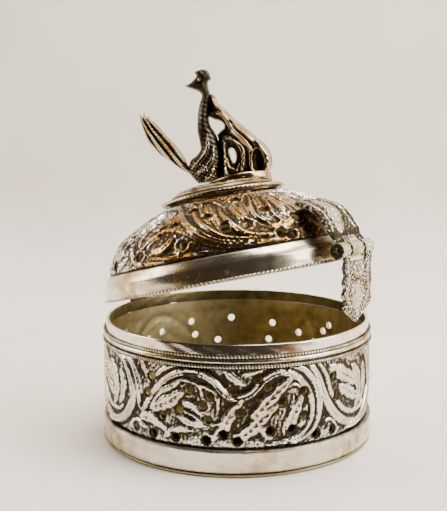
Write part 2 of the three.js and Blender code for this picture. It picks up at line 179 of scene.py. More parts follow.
def stem(x, y, pts, w, h, ridges=1, scale=None):
    """A rounded stem that follows a line, with grooves along it. w is its half width at the start, middle and end."""
    line = smooth_line(pts, 7)
    if scale is not None:
        line = line * scale
    lo, hi = line.min(0) - max(w) - 0.4, line.max(0) + max(w) + 0.4
    m = (x > lo[0]) & (x < hi[0]) & (y > lo[1]) & (y < hi[1])
    out = np.zeros(x.shape)
    if not m.any():
        return out
    d, s, t = near(x[m], y[m], line)
    ww = np.interp(t, [0, 0.5, 1], w)
    q = d / ww
    top = np.sqrt(np.clip(1 - q ** 2.4, 0, 1))
    if ridges > 1:
        top *= 0.72 + 0.28 * np.cos(math.pi * ridges * q * s * 1.0 + (math.pi if ridges % 2 == 0 else 0))
    ends = np.clip(np.minimum(t, 1 - t) * len(pts) * 2.2, 0, 1) ** 0.5
    out[m] = h * top * ends
    return out


def leaf(x, y, pts, w, h, lobes=3, veins=9, scale=None):
    """A leaf along its midrib: a lobed edge, a sunk midrib and slanting veins."""
    line = smooth_line(pts, 8)
    if scale is not None:
        line = line * scale
    lo, hi = line.min(0) - w * 1.4 - 0.3, line.max(0) + w * 1.4 + 0.3
    m = (x > lo[0]) & (x < hi[0]) & (y > lo[1]) & (y < hi[1])
    out = np.zeros(x.shape)
    if not m.any():
        return out
    d, s, t = near(x[m], y[m], line)
    ww = w * np.sin(math.pi * np.clip(t, 0.001, 0.999) ** 0.75) ** 0.7 * (0.86 + 0.26 * np.abs(np.sin(math.pi * lobes * (t + 0.06 * s)))) + 1e-3
    q = np.clip(d / ww, 0, 2)
    body = np.sqrt(np.clip(1 - q ** 3, 0, 1))
    vein = 0.89 + 0.11 * np.cos(2 * math.pi * (veins * t - 0.9 * q))
    rib = 1 - 0.36 * np.exp(-((d / 0.22) ** 2))
    out[m] = h * body * vein * rib * (0.72 + 0.28 * (1 - np.abs(q - 0.55)))
    return out


def flow(x, y, lines):
    """Distance to the nearest of several lines."""
    best = np.full(x.shape, 1e9)
    for line in lines:
        ln = smooth_line(line, 3)
        for k in range(len(ln) - 1):
            (ax, ay), (bx, by) = ln[k], ln[k + 1]
            dx, dy = bx - ax, by - ay
            t = np.clip(((x - ax) * dx + (y - ay) * dy) / (dx * dx + dy * dy + 1e-12), 0, 1)
            best = np.minimum(best, np.hypot(x - ax - t * dx, y - ay - t * dy))
    return best


def rough(x, y, wave, seed):
    """Even, aimless roughness with features about one wave apart, between -1 and 1."""
    g = np.random.default_rng(seed)
    out = np.zeros(np.shape(x))
    for _ in range(14):
        a, q, ph = g.uniform(0, math.pi), 2 * math.pi / (wave * g.uniform(0.75, 1.4)), g.uniform(0, 6.28)
        out = out + np.sin((x * math.cos(a) + y * math.sin(a)) * q + ph)
    return np.clip(out / 4.2, -1, 1)


def blur(a, r, wrap):
    k = np.exp(-0.5 * (np.arange(-3 * r, 3 * r + 1) / r) ** 2)
    k /= k.sum()
    n = 3 * r
    u = np.concatenate([a[:, -n:], a, a[:, :n]], 1) if wrap else np.pad(a, ((0, 0), (n, n)), "edge")
    u = sum(k[i] * u[:, i:i + a.shape[1]] for i in range(len(k)))
    u = np.pad(u, ((n, n), (0, 0)), "edge")
    return sum(k[i] * u[i:i + a.shape[0]] for i in range(len(k)))


def wobble(a, *terms):
    """Slow waviness round an angle: hand work is never dead round."""
    return sum(h * np.sin(n * a + ph) for n, h, ph in terms)


def pierce(quads, u, v, holes, ku, wrap_u):
    """Drops the quads inside each hole and draws the edge vertices on to its circle. u and v are flat; ku is millimetres per unit of u at each vertex."""
    cu, cv, ck = u[quads], v[quads], ku[quads].mean(1)
    base = cu[:, :1]
    cu = base + (cu - base + wrap_u / 2) % wrap_u - wrap_u / 2 if wrap_u else cu
    mu, mv = cu.mean(1), cv.mean(1)
    keep = np.ones(len(quads), bool)
    hit = []
    for hu, hv, r in holes:
        du = mu - hu
        if wrap_u:
            du = (du + wrap_u / 2) % wrap_u - wrap_u / 2
        drop = np.hypot(du * ck, mv - hv) < r
        keep &= ~drop
        hit.append(np.unique(quads[drop]))
    kept = quads[keep]
    still = np.unique(kept)
    for (hu, hv, r), ids in zip(holes, hit):
        e = ids[np.isin(ids, still)]
        du = u[e] - hu
        if wrap_u:
            du = (du + wrap_u / 2) % wrap_u - wrap_u / 2
        dx, dy = du * ku[e], v[e] - hv
        g = r / np.maximum(np.hypot(dx, dy), 1e-6)
        u[e] = hu + dx * g / ku[e]
        v[e] = hv + dy * g
    return kept


def rounded(poly, r, n=3):
    """A closed profile with its corners rounded."""
    p = np.asarray(poly, float)
    out = []
    for k in range(len(p)):
        a, b, c = p[k - 1], p[k], p[(k + 1) % len(p)]
        la, lc = np.linalg.norm(a - b), np.linalg.norm(c - b)
        d = min(r, 0.45 * la, 0.45 * lc)
        s, e = b + (a - b) / la * d, b + (c - b) / lc * d
        for t in np.linspace(0, 1, n + 1):
            out.append((1 - t) ** 2 * s + 2 * t * (1 - t) * b + t * t * e)
    return np.array(out)


def lathe(name, profile, n, mat, body, node, place=None, dr=None, dz=None, arc=None, axis="z", cav=None, inside=None, sharp=50, weld=0.0, step=0.45):
    """Turns a closed profile [radius, height] round an axis. arc=(from, to) in degrees of bearing leaves a gap, closed by end faces."""
    raw = np.asarray(profile, float)
    pr = []
    for q in range(len(raw)):
        p0, p1 = raw[q], raw[(q + 1) % len(raw)]
        parts = 1 if p0[0] < 1e-6 and p1[0] < 1e-6 else max(1, int(np.linalg.norm(p1 - p0) / step))
        pr += [p0 + (p1 - p0) * t / parts for t in range(parts)]
    pr = np.array(pr)
    m = len(pr)
    if arc:
        ang = np.radians(np.linspace(arc[0], arc[1], n + 1))
    else:
        ang = np.arange(n) * 2 * math.pi / n
    A, K = np.meshgrid(ang, np.arange(m), indexing="ij")
    R, Z = pr[K, 0], pr[K, 1]
    R = R + (dr(A, R, Z) if dr else 0)
    Z = Z + (dz(A, R, Z) if dz else 0)
    R = np.maximum(R, 0)
    P = np.stack([R * np.sin(A), -R * np.cos(A), Z], -1)
    if axis == "x":
        P = np.stack([P[..., 2], P[..., 0], P[..., 1]], -1)
    P = P.reshape(-1, 3)
    rows = len(ang)
    i, k = np.meshgrid(np.arange(n), np.arange(m), indexing="ij")
    i, k = i.ravel(), k.ravel()
    i2, k2 = (i + 1) % rows if not arc else i + 1, (k + 1) % m
    quads = np.stack([i * m + k, i2 * m + k, i2 * m + k2, i * m + k2], -1)
    tris = []
    if arc:
        c0, c1 = len(P), len(P) + 1
        P = np.concatenate([P, P[:m].mean(0)[None], P[-m:].mean(0)[None]])
        kk = np.arange(m)
        tris = np.concatenate([np.stack([np.full(m, c0), kk, (kk + 1) % m], -1), np.stack([np.full(m, c1), n * m + (kk + 1) % m, n * m + kk], -1)])
    cv = cav(A, R, Z).ravel() if cav else np.zeros(rows * m)
    iv = inside(A, R, Z).ravel() if inside else np.zeros(rows * m)
    if arc:
        cv, iv = np.append(cv, [0, 0]), np.append(iv, [0, 0])
    P = place(P) if place else P
    return build(name, P, quads, tris, mat, body, node, cv, iv, sharp, weld)


def inside_poly(x, y, poly):
    c = np.zeros(x.shape, bool)
    for k in range(len(poly)):
        (ax, ay), (bx, by) = poly[k - 1], poly[k]
        if ay == by:
            continue
        m = ((ay > y) != (by > y)) & (x < (bx - ax) * (y - ay) / (by - ay) + ax)
        c ^= m
    return c


def edge_point(x, y, polys):
    best = np.full(x.shape, 1e9)
    px, py = x.copy(), y.copy()
    for poly in polys:
        for k in range(len(poly)):
            (ax, ay), (bx, by) = poly[k - 1], poly[k]
            dx, dy = bx - ax, by - ay
            t = np.clip(((x - ax) * dx + (y - ay) * dy) / (dx * dx + dy * dy + 1e-12), 0, 1)
            qx, qy = ax + t * dx, ay + t * dy
            d = np.hypot(x - qx, y - qy)
            m = d < best
            best[m], px[m], py[m] = d[m], qx[m], qy[m]
    return best, px, py


def slab(name, outline, holes, step, faces, to3d, mat, body, node, cuts=(), sharp=60):
    """A piece drawn by its outline on a fine grid. faces(x, y, d) gives front and back depth and the tone of each."""
    ol = smooth_line(outline, 5, closed=True)
    hs = [smooth_line(h, 4, closed=True) for h in holes]
    lo, hi = ol.min(0) - step * 1.5, ol.max(0) + step * 1.5
    nx, ny = int((hi[0] - lo[0]) / step) + 1, int((hi[1] - lo[1]) / step) + 1
    X, Y = np.meshgrid(lo[0] + np.arange(nx + 1) * step, lo[1] + np.arange(ny + 1) * step)
    x, y = X.ravel(), Y.ravel()
    quads = grid_quads(nx, ny, False)
    mx, my = x[quads].mean(1), y[quads].mean(1)
    keep = inside_poly(mx, my, ol)
    for h in hs:
        keep &= ~inside_poly(mx, my, h)
    quads = quads[keep]
    used = np.unique(quads)
    d = np.zeros(len(x))
    dd, px, py = edge_point(x[used], y[used], [ol] + hs)
    d[used] = dd
    e = np.unique(boundary(quads, len(x)))
    loc = np.searchsorted(used, e)
    x[e], y[e], d[e] = px[loc], py[loc], 0.0
    zf, zb, tone_f, tone_b = faces(x, y, d)
    n = len(x)
    P = np.concatenate([np.stack([x, y, zf], -1), np.stack([x, y, zb], -1)])
    tone = np.concatenate([tone_f, tone_b])
    return build(name, to3d(P), close_shell(quads, n), [], mat, body, node, tone, None, sharp, 0.0, cuts)


# ---------------------------------------------------------------- finishes
def lin(r, g, b):
    return tuple(((c + 0.055) / 1.055) ** 2.4 if c > 0.04045 else c / 12.92 for c in (r, g, b)) + (1.0,)


def metal(name, bright, dark, warm, rough, rough_dark, painted_reflection_at=None, warm_share=0.35, grain=0.5, scratch=0.25, inner=None, pit=0.2, warm_size=26):
    m = bpy.data.materials.new(name)
    m.use_nodes = True
    nt = m.node_tree
    nt.nodes.clear()
    N, L = nt.nodes.new, nt.links.new
    out, bs = N("ShaderNodeOutputMaterial"), N("ShaderNodeBsdfPrincipled")
    L(bs.outputs[0], out.inputs[0])
    bs.inputs["Metallic"].default_value = 1.0
    tc = N("ShaderNodeTexCoord")
    co = tc.outputs["Object"]

    def noise(scale, detail=3.0, rough_=0.55, vec=co):
        n = N("ShaderNodeTexNoise")
        n.inputs["Scale"].default_value = scale
        n.inputs["Detail"].default_value = detail
        n.inputs["Roughness"].default_value = rough_
        L(vec, n.inputs["Vector"])
        return n.outputs["Fac"]

    def math_(op, a, b=None, clamp=False):
        n = N("ShaderNodeMath")
        n.operation = op
        n.use_clamp = clamp
        for k, v in enumerate((a, b)):
            if v is None:
                continue
            if isinstance(v, (int, float)):
                n.inputs[k].default_value = v
            else:
                L(v, n.inputs[k])
        return n.outputs[0]

    def ramp(fac, a, b):
        n = N("ShaderNodeMapRange")
        n.inputs["From Min"].default_value = a
        n.inputs["From Max"].default_value = b
        n.interpolation_type = "SMOOTHSTEP"
        L(fac, n.inputs["Value"])
        return n.outputs["Result"]

    def mix(fac, a, b):
        n = N("ShaderNodeMix")
        n.data_type = "RGBA"
        L(fac, n.inputs[0]) if not isinstance(fac, (int, float)) else setattr(n.inputs[0], "default_value", fac)
        for k, v in ((6, a), (7, b)):
            if isinstance(v, tuple):
                n.inputs[k].default_value = v
            else:
                L(v, n.inputs[k])
        return n.outputs[2]

    at = N("ShaderNodeAttribute")
    at.attribute_name = "cav"
    cav = at.outputs["Fac"]
    fine = noise(1700, 4, 0.6)
    mid = noise(260, 4, 0.6)
    big = noise(1000.0 / warm_size, 3, 0.5)
    # blackened recesses, broken up by fine grain
    grainy = math_("ADD", cav, math_("MULTIPLY", math_("SUBTRACT", fine, 0.5), grain))
    grainy = math_("ADD", grainy, math_("MULTIPLY", math_("SUBTRACT", mid, 0.5), grain * 0.8))
    dirt = ramp(grainy, 0.18, 0.72)
    # warm tarnish in patches; on the lid a painted warm reflection round one point is added
    patch = ramp(big, 0.62 - warm_share, 0.86 - warm_share)
    # painted reflection: a warm spot round the given point on the lid stands in for the room mirrored there, mixed into
    # the tarnish patches
    if painted_reflection_at is not None:
        vm = N("ShaderNodeVectorMath")
        vm.operation = "DISTANCE"
        L(co, vm.inputs[0])
        vm.inputs[1].default_value = [c * 0.001 for c in painted_reflection_at[0]]
        reflection_falloff = math_("SUBTRACT", 1.0, ramp(vm.outputs["Value"], painted_reflection_at[1] * 0.0004, painted_reflection_at[1] * 0.001))
        patch = math_("MULTIPLY", math_("ADD", patch, reflection_falloff, clamp=True), math_("ADD", reflection_falloff, 0.25, clamp=True))
        patch = math_("MULTIPLY", patch, math_("MULTIPLY", ramp(mid, 0.22, 0.54), 0.95))
    else:
        patch = math_("MULTIPLY", patch, ramp(mid, 0.3, 0.7))
    colour = mix(patch, bright, warm)
    colour = mix(ramp(noise(700, 5, 0.7), 0.60, 0.78), colour, mix(0.55, colour, dark))
    colour = mix(dirt, colour, dark)
    if inner is not None:
        ia = N("ShaderNodeAttribute")
        ia.attribute_name = "ins"
        ins = ia.outputs["Fac"]
        deep = mix(ramp(mid, 0.3, 0.75), inner[0], inner[1])
        colour = mix(ins, colour, deep)
    L(colour, bs.inputs["Base Color"])
    r0 = math_("ADD", math_("MULTIPLY", mid, rough * 0.9), rough * 0.45)
    r1 = math_("ADD", r0, math_("MULTIPLY", dirt, rough_dark - rough))
    r1 = math_("ADD", r1, math_("MULTIPLY", patch, 0.06))
    if inner is not None:
        r1 = math_("ADD", r1, math_("MULTIPLY", ins, inner[2]))
    L(math_("MINIMUM", r1, 0.9), bs.inputs["Roughness"])
    # small dents, pits and scratches
    mp = N("ShaderNodeMapping")
    mp.inputs["Rotation"].default_value = (0.4, 0.9, 0.7)
    mp.inputs["Scale"].default_value = (1.0, 9.0, 5.0)
    L(co, mp.inputs["Vector"])
    lines = noise(420, 3, 0.6, mp.outputs[0])
    dents = noise(95, 2, 0.5)
    hgt = math_("ADD", math_("MULTIPLY", lines, scratch), math_("ADD", math_("MULTIPLY", dents, 1.1), math_("MULTIPLY", fine, pit)))
    bp = N("ShaderNodeBump")
    bp.inputs["Strength"].default_value = 0.35
    bp.inputs["Distance"].default_value = 0.0002
    L(hgt, bp.inputs["Height"])
    L(bp.outputs[0], bs.inputs["Normal"])
    return m


DARK = lin(0.20, 0.17, 0.12)
M_FOOT = metal("foot_silver", lin(0.86, 0.83, 0.76), lin(0.26, 0.22, 0.16), lin(0.62, 0.51, 0.36), 0.24, 0.5, warm_share=0.30, grain=0.5, scratch=0.5, pit=0.35)
M_PLAIN = metal("plain_silver", lin(0.93, 0.915, 0.885), DARK, lin(0.74, 0.60, 0.42), 0.20, 0.5, warm_share=0.18, grain=0.35)
M_CHASED = metal("chased_silver", lin(0.87, 0.85, 0.80), DARK, lin(0.68, 0.56, 0.38), 0.21, 0.5, warm_share=0.20, grain=0.85, inner=(lin(0.88, 0.82, 0.62), lin(0.74, 0.66, 0.44), 0.22))
# the warm spot round (-27, -24, 62) on the lid is a painted reflection; its other warm patches are tarnish
M_LID = metal("chased_warm_silver", lin(0.90, 0.88, 0.83), DARK, lin(0.64, 0.45, 0.12), 0.18, 0.45, painted_reflection_at=((-27, -24, 62), 42), warm_share=0.30, grain=0.75, inner=(lin(0.62, 0.56, 0.40), lin(0.44, 0.38, 0.24), 0.2))
M_WARM = metal("warm_silver", lin(0.90, 0.87, 0.80), DARK, lin(0.66, 0.52, 0.22), 0.24, 0.45, warm_share=0.28, grain=0.3, inner=(lin(0.62, 0.56, 0.40), lin(0.46, 0.40, 0.25), 0.2))
M_CAP = metal("aged_silver", lin(0.80, 0.74, 0.62), DARK, lin(0.55, 0.39, 0.13), 0.17, 0.45, warm_share=0.36, grain=0.4, inner=(lin(0.62, 0.56, 0.40), lin(0.46, 0.40, 0.25), 0.2), warm_size=14)
M_RIM = metal("rim_silver", lin(0.92, 0.90, 0.86), DARK, lin(0.80, 0.58, 0.30), 0.12, 0.45, warm_share=0.2, grain=0.3, inner=(lin(0.60, 0.55, 0.40), lin(0.46, 0.41, 0.26), 0.2))
M_CAST = metal("dark_cast_silver", lin(0.74, 0.70, 0.60), lin(0.14, 0.115, 0.08), lin(0.60, 0.45, 0.16), 0.17, 0.45, warm_share=0.34, grain=0.45, warm_size=9)
M_HASP = metal("hasp_silver", lin(0.78, 0.755, 0.685), DARK, lin(0.62, 0.53, 0.37), 0.27, 0.55, warm_share=0.26, grain=0.6, warm_size=8)
M_OLIVE = metal("olive_silver", lin(0.62, 0.57, 0.42), lin(0.22, 0.19, 0.11), lin(0.55, 0.44, 0.25), 0.34, 0.55, warm_share=0.25, grain=0.5)
M_PIN = metal("pin_metal", lin(0.78, 0.76, 0.71), lin(0.20, 0.17, 0.13), lin(0.55, 0.44, 0.30), 0.28, 0.5, warm_share=0.25, grain=0.5, warm_size=6)


# ---------------------------------------------------------------- base wall: pierced, chased drum
def wall_relief(phi, z):
    """Height of the chasing at a bearing phi (degrees, from the middle of the motif) and height z."""
    mm = math.pi / 180 * 40.8
    H = np.zeros(phi.shape)
    sc = np.array([mm, 1.0])
    S = [
        ([(-71, 9.6), (-60, 9.8), (-53, 12.2), (-48.4, 16), (-46.6, 20), (-48, 24.2), (-52, 28.4), (-58, 30.6), (-66, 31.2)], (1.2, 1.9, 0.7), 1.15, 2),
        ([(-53, 31.2), (-48, 28.6), (-44.8, 25), (-43.4, 21), (-43, 17.5), (-40, 15.6), (-34, 16.0)], (0.6, 0.8, 0.4), 0.8, 1),
        ([(-49.5, 30.8), (-45, 28), (-42.2, 24), (-41.4, 20)], (0.45, 0.6, 0.3), 0.65, 1),
        ([(-40.5, 16), (-38, 18.8), (-35, 22), (-31, 25), (-26, 27.6), (-20, 29), (-14, 28.7), (-9, 26.8), (-6, 24.4), (-3, 22.8), (1, 22.4), (5, 23.4), (8, 25.4), (11, 27.4), (15, 28.8), (20, 28.6), (25, 26.6), (28.7, 23.2), (30.6, 19.5), (30.4, 15.5), (28, 12.4), (24, 10.4), (18, 9.2), (11, 8.8)], (0.8, 1.35, 0.6), 1.15, 2),
        ([(-37, 16.4), (-33.5, 20.6), (-29, 23.4), (-24, 24.6)], (0.5, 0.6, 0.3), 0.7, 1),
        ([(-34, 26.6), (-30, 29), (-25, 30.6), (-19, 31.2)], (0.5, 0.7, 0.4), 0.7, 1),
        ([(17, 31), (22, 30.6), (27, 29), (31, 26), (33.6, 22), (34.4, 18), (33.4, 14.4), (30.6, 11.4), (26, 9.4), (20, 8.3)], (0.6, 1.25, 0.5), 1.05, 2),
        ([(29, 31), (33.4, 26.6), (36.2, 21.8), (39.6, 17.2), (44, 13.6), (49.5, 11.2), (56, 10), (62, 9.8)], (0.9, 1.6, 1.1), 1.1, 2),
        ([(33, 31), (37.6, 26.6), (40, 21.8), (44, 17.8), (49, 14.6), (55, 13.2), (62, 13.4), (66, 15.2)], (0.5, 0.8, 0.5), 0.8, 1),
        ([(-24, 18.6), (-17, 16.8), (-12, 14.6), (-6, 15.4), (-4, 18)], (0.4, 0.6, 0.3), 0.7, 1),
        ([(-16, 25.4), (-11.6, 25), (-7.4, 21.4), (-7.8, 17.6)], (0.4, 0.65, 0.3), 0.75, 1),
        ([(-25, 26), (-20, 26.6), (-15, 25.4), (-13.6, 22)], (0.35, 0.55, 0.3), 0.7, 1),
        ([(20, 24.6), (23.4, 25.2), (27, 23.6)], (0.3, 0.5, 0.3), 0.6, 1),
        ([(18.5, 10.8), (18.8, 14.4), (21.4, 18.6), (22.4, 22)], (0.35, 0.5, 0.3), 0.7, 1),
        ([(35.6, 8.6), (36.2, 11.6), (38.6, 13.4), (41.6, 12.6), (44, 10.4)], (0.35, 0.5, 0.3), 0.7, 1),
    ]
    F = [
        ([(-37, 17), (-31, 18.8), (-25, 21.4), (-20.6, 24)], 2.1, 0.85, 3, 8),
        ([(-33, 22.2), (-27, 24.2), (-21.6, 27)], 1.0, 0.7, 2, 6),
        ([(-43, 13.6), (-37, 14.2), (-31.6, 13), (-28, 10.8)], 1.7, 0.85, 3, 7),
        ([(-24, 16.4), (-18, 14.6), (-11, 14.2)], 1.2, 0.7, 2, 6),
        ([(-22, 20.4), (-17.6, 19.6), (-13.2, 16.6)], 1.2, 0.7, 2, 6),
        ([(-6.4, 11), (-4.4, 15), (-1.4, 19), (2.4, 21.6)], 1.7, 0.9, 3, 7),
        ([(-1.4, 10.6), (4, 12.8), (10, 16.6), (17, 20.6)], 2.1, 0.9, 4, 9),
        ([(5.6, 16.6), (11.6, 21), (17.6, 25), (22.6, 27.4)], 2.0, 0.9, 4, 8),
        ([(20.6, 12), (21.8, 15.6), (24.4, 19.4), (26.6, 22)], 1.9, 0.85, 3, 7),
        ([(25.4, 12.6), (27.4, 15.8), (28.4, 19.4)], 1.0, 0.7, 2, 6),
        ([(13.6, 10.4), (10, 13), (5.4, 15.6)], 1.2, 0.75, 2, 6),
        ([(39, 28.6), (46, 26), (54, 23), (61, 20)], 2.3, 0.9, 4, 9),
        ([(45, 22.4), (50, 20.4), (56, 18), (62, 17.4)], 2.0, 0.85, 4, 8),
        ([(-66, 27.4), (-61, 23), (-60, 17.6), (-63, 13.6)], 2.2, 0.9, 4, 8),
        ([(-57, 27.6), (-54, 23), (-54.6, 18.4), (-58, 14.6)], 1.7, 0.85, 3, 7),
        ([(-30, 9.6), (-24, 12.4), (-17, 12.6)], 1.2, 0.7, 2, 6),
        ([(-50, 9.4), (-44, 11.8), (-38, 10.8)], 1.3, 0.8, 2, 6),
        ([(-41.6, 30.4), (-38.6, 27.4), (-36.6, 24)], 1.2, 0.8, 2, 6),
        ([(-5, 30.2), (-1, 27.6), (3.6, 25.8)], 1.2, 0.8, 2, 6),
        ([(46, 10), (40, 10.2), (34, 9.4)], 0.9, 0.6, 2, 5),
        ([(-14, 10), (-8, 11.6), (-7, 14.6)], 1.1, 0.7, 2, 5),
        ([(2, 28.6), (7, 29.6), (11, 30.4)], 0.8, 0.6, 2, 5),
    ]
    for shift in (-120, 0, 120):
        p = (phi + shift) * mm
        for pts, w, h, rid in S:
            H = np.maximum(H, stem(p, z, pts, w, h, rid, sc))
        for pts, w, h, lob, vn in F:
            H = np.maximum(H, leaf(p, z, pts, w, h, lob, vn, sc))
    D = np.full(phi.shape, 1e9)
    for shift in (-120, 0, 120):
        D = np.minimum(D, flow((phi + shift) * mm, z, [np.asarray(pts, float) * sc for pts, w, h, rid in S]))
    lines = 0.14 + 0.11 * np.cos(2 * math.pi * D / 1.3) * np.exp(-D / 4.0) + 0.09 * rough(phi * mm, z, 1.1, 3)
    fine = 0.07 * np.cos(2 * math.pi * D / 0.62) + 0.05 * rough(phi * mm, z, 0.9, 8)
    return np.where(H > 0.02, np.maximum(H + fine * np.clip(H / 0.4, 0, 1), 0.12), lines), H


def base_wall():
    nu, nv = 660, 76
    u = np.arange(nu) * 360.0 / nu - 180
    v = np.linspace(1.3, 33.5, nv + 1)
    U, V = np.meshgrid(u, v)
    U, V = U.ravel(), V.ravel()
    ku = np.full(len(U), math.pi / 180 * 41.0)
    holes = []
    for h in WALL_HOLES:
        for k in range(3):
            holes.append((((h[0] + 120 * k + 180) % 360) - 180, h[1], 1.25))
    quads = pierce(grid_quads(nu, nv, True), U, V, holes, ku, 360.0)
    phi = (U + 47.5 + 180) % 360 - 180
    motif = (phi + 60) % 120 - 60
    H, raised = wall_relief(motif, V)
    near_hole = np.full(len(U), 99.0)
    for hu, hv, r in holes:
        du = (U - hu + 180) % 360 - 180
        near_hole = np.minimum(near_hole, np.hypot(du * ku, V - hv))
    rim = np.clip((near_hole - 1.25) / 0.9, 0, 1)
    H = 0.14 + (H - 0.14) * (0.3 + 0.7 * rim) + 0.10 * np.exp(-((near_hole - 1.9) / 0.4) ** 2)
    zone = np.clip((V - 7.7) / 0.5, 0, 1) * np.clip((30.5 - V) / 0.5, 0, 1)
    ground = (raised < 0.1) & (zone > 0.5)
    pits = rng.normal(0, 1, (nv + 1, nu))
    pits = blur(pits, 1, True).ravel() * 0.16
    H = (H + np.where(ground, pits, pits * 0.35)) * zone
    Hg = H.reshape(nv + 1, nu)
    hp = Hg - blur(Hg, 3, True)
    edge = np.exp(-(((raised + np.where(ground, 9, 0)) / 0.34) ** 2)).reshape(Hg.shape)
    tone = np.clip(0.29 - hp * 2.2 - np.clip(Hg - 0.45, 0, 0.5) * 0.4 + 0.55 * edge + np.where(ground.reshape(Hg.shape), 0.20, 0), 0, 1)
    tone = np.where(zone.reshape(Hg.shape) > 0.5, tone, 0.35).ravel()
    hole_dark = np.exp(-((near_hole - 1.25) / 0.35) ** 2) * 0.5
    tone = np.clip(tone + hole_dark, 0, 1)
    r = 40.35 + np.clip(H, -0.25, 1.25)
    near_hasp = np.abs((U + 180) % 360 - 180) < 15
    r = np.where(near_hasp & (V > 12), np.minimum(r, 41.15), r)
    low = V < 7.8
    r = np.where(low, 40.0, r)
    r = np.where(V > 30.45, 40.3, r)
    a = np.radians(U)
    r = r + wobble(a, (2, 0.10, 0.3), (5, 0.05, 1.1), (9, 0.03, 2.0))
    r = np.where(low, 40.0, r)
    Hb = blur(Hg, 2, True).ravel()
    ri = 39.45 + np.clip(Hb, 0, 1) * 0.40 + wobble(a, (2, 0.08, 0.3), (5, 0.04, 1.1))
    ri = np.minimum(ri, r - 0.35)
    out = np.stack([r * np.sin(a), -r * np.cos(a), V], -1)
    inn = np.stack([ri * np.sin(a), -ri * np.cos(a), V], -1)
    n = len(U)
    ins = np.concatenate([np.zeros(n), np.ones(n)])
    tin = np.clip(0.25 - (Hb - blur(Hg, 4, True).ravel()) * -1.5, 0, 0.6)
    build("wall_chased_drum", np.concatenate([out, inn]), close_shell(quads, n), [], M_CHASED, "base", "base_wall",
          np.concatenate([tone, tin]), ins, 70)


base_wall()


# ---------------------------------------------------------------- plain rings of the base
def dents(seed, a1=0.10, a2=0.05, a3=0.03):
    g = np.random.default_rng(seed)
    ph = g.uniform(0, 6.28, 4)
    return lambda A, R, Z: wobble(A, (2, a1, ph[0]), (3, a2, ph[1]), (7, a3, ph[2]), (19, a3 * 0.4, ph[3])) + 0.02 * np.sin(A * 31 + Z * 2.1)


foot = rounded([(40.5, 1.3), (41.95, 1.25), (42.0, 2.2), (41.75, 4.6), (41.9, 6.9), (41.7, 7.6), (40.5, 7.6)], 0.35, 3)
lathe("foot_ring_plain", foot, 260, M_FOOT, "base", "foot_band", dr=lambda A, R, Z: np.where(R > 41.2, dents(1, 0.07, 0.06, 0.05)(A, R, Z), 0), cav=lambda A, R, Z: np.where((Z > 7.2) | (Z < 1.6), 0.5, 0.13))
fl = rounded([(0.0, 0.0), (41.2, 0.0), (41.75, 0.35), (41.7, 0.95), (41.2, 1.0), (0.0, 1.0)], 0.2, 2)
fl = np.array([(0.0, 0.0), (8, 0.0), (16, 0.0), (24, 0.0), (32, 0.0), (38, 0.0), (41.1, 0.0), (41.6, 0.18), (41.75, 0.5), (41.6, 0.85), (41.1, 1.0), (38, 1.0), (32, 1.0), (24, 1.0), (16, 1.0), (8, 1.0), (0.0, 1.0)])
lathe("floor_disc", fl, 220, M_OLIVE, "base", "base_floor", step=1.6, dz=lambda A, R, Z: np.where((Z > 0.6) & (R < 39), 0.05 * np.sin(3 * A + R * 0.3) * np.sin(R * 0.35), 0) + np.where((Z > 0.6) & (R < 38.5), 0.03 * np.sin(R * 2.4), 0), weld=0.0005, cav=lambda A, R, Z: 0.25 + 0.2 * np.sin(R * 1.3))


def bead(name, node, rmid, zmid, rr, turns, mat, arc, place=None, squash=1.0, body="base"):
    """A small raised ring cut into a fine slanting milled edge."""
    k = np.arange(12) * 2 * math.pi / 12
    prof = np.stack([rmid + rr * np.cos(k), zmid + rr * squash * np.sin(k)], -1)
    f = lambda A, R, Z: 0.10 * rr * 2 * np.sin(A * turns + (Z - zmid) / rr * 1.2) * (R > rmid)
    return lathe(name, prof, 900, mat, body, node, dr=f, arc=arc, place=place, sharp=80,
                 cav=lambda A, R, Z: np.clip(0.35 - 1.6 * f(A, R, Z) / rr + 0.5 * np.abs(Z - zmid) / rr * 0.7, 0, 1))


bead("lower_edge_bead", "lower_bead", 41.05, 31.0, 0.55, 300, M_WARM, (-164, 164))
step = rounded([(40.6, 31.85), (41.25, 31.85), (41.3, 32.4), (41.05, 33.1), (40.6, 33.1)], 0.2, 2)
lathe("stepped_band", step, 300, M_WARM, "base", "step_band", dr=lambda A, R, Z: np.where(R > 40.9, 0.05 * np.sin(A * 90 + 5 * Z) * 0.5 + dents(4, 0.05, 0.03, 0.02)(A, R, Z), 0), arc=(-164, 164), cav=lambda A, R, Z: np.where(Z < 32.1, 0.6, 0.15))
bead("upper_edge_bead", "upper_bead", 41.0, 33.75, 0.42, 260, M_WARM, (-164, 164))
rim = rounded([(39.4, 33.8), (40.62, 33.8), (40.66, 34.2), (40.50, 36.75), (40.32, 37.0), (39.85, 37.0), (39.5, 36.7), (39.4, 35)], 0.14, 3)
lathe("rim_ring_plain", rim, 480, M_RIM, "base", "rim_band",
      dr=lambda A, R, Z: dents(5, 0.06, 0.05, 0.04)(A, R, Z), dz=lambda A, R, Z: np.where(Z > 36.4, 0.035 * np.sin(A * 235) + 0.05 * np.sin(A * 3 + 1), 0),
      inside=lambda A, R, Z: np.where((R < 39.75) & (Z < 36.8), 1.0, 0.0), cav=lambda A, R, Z: np.where(Z < 34.0, 0.5, 0.03))

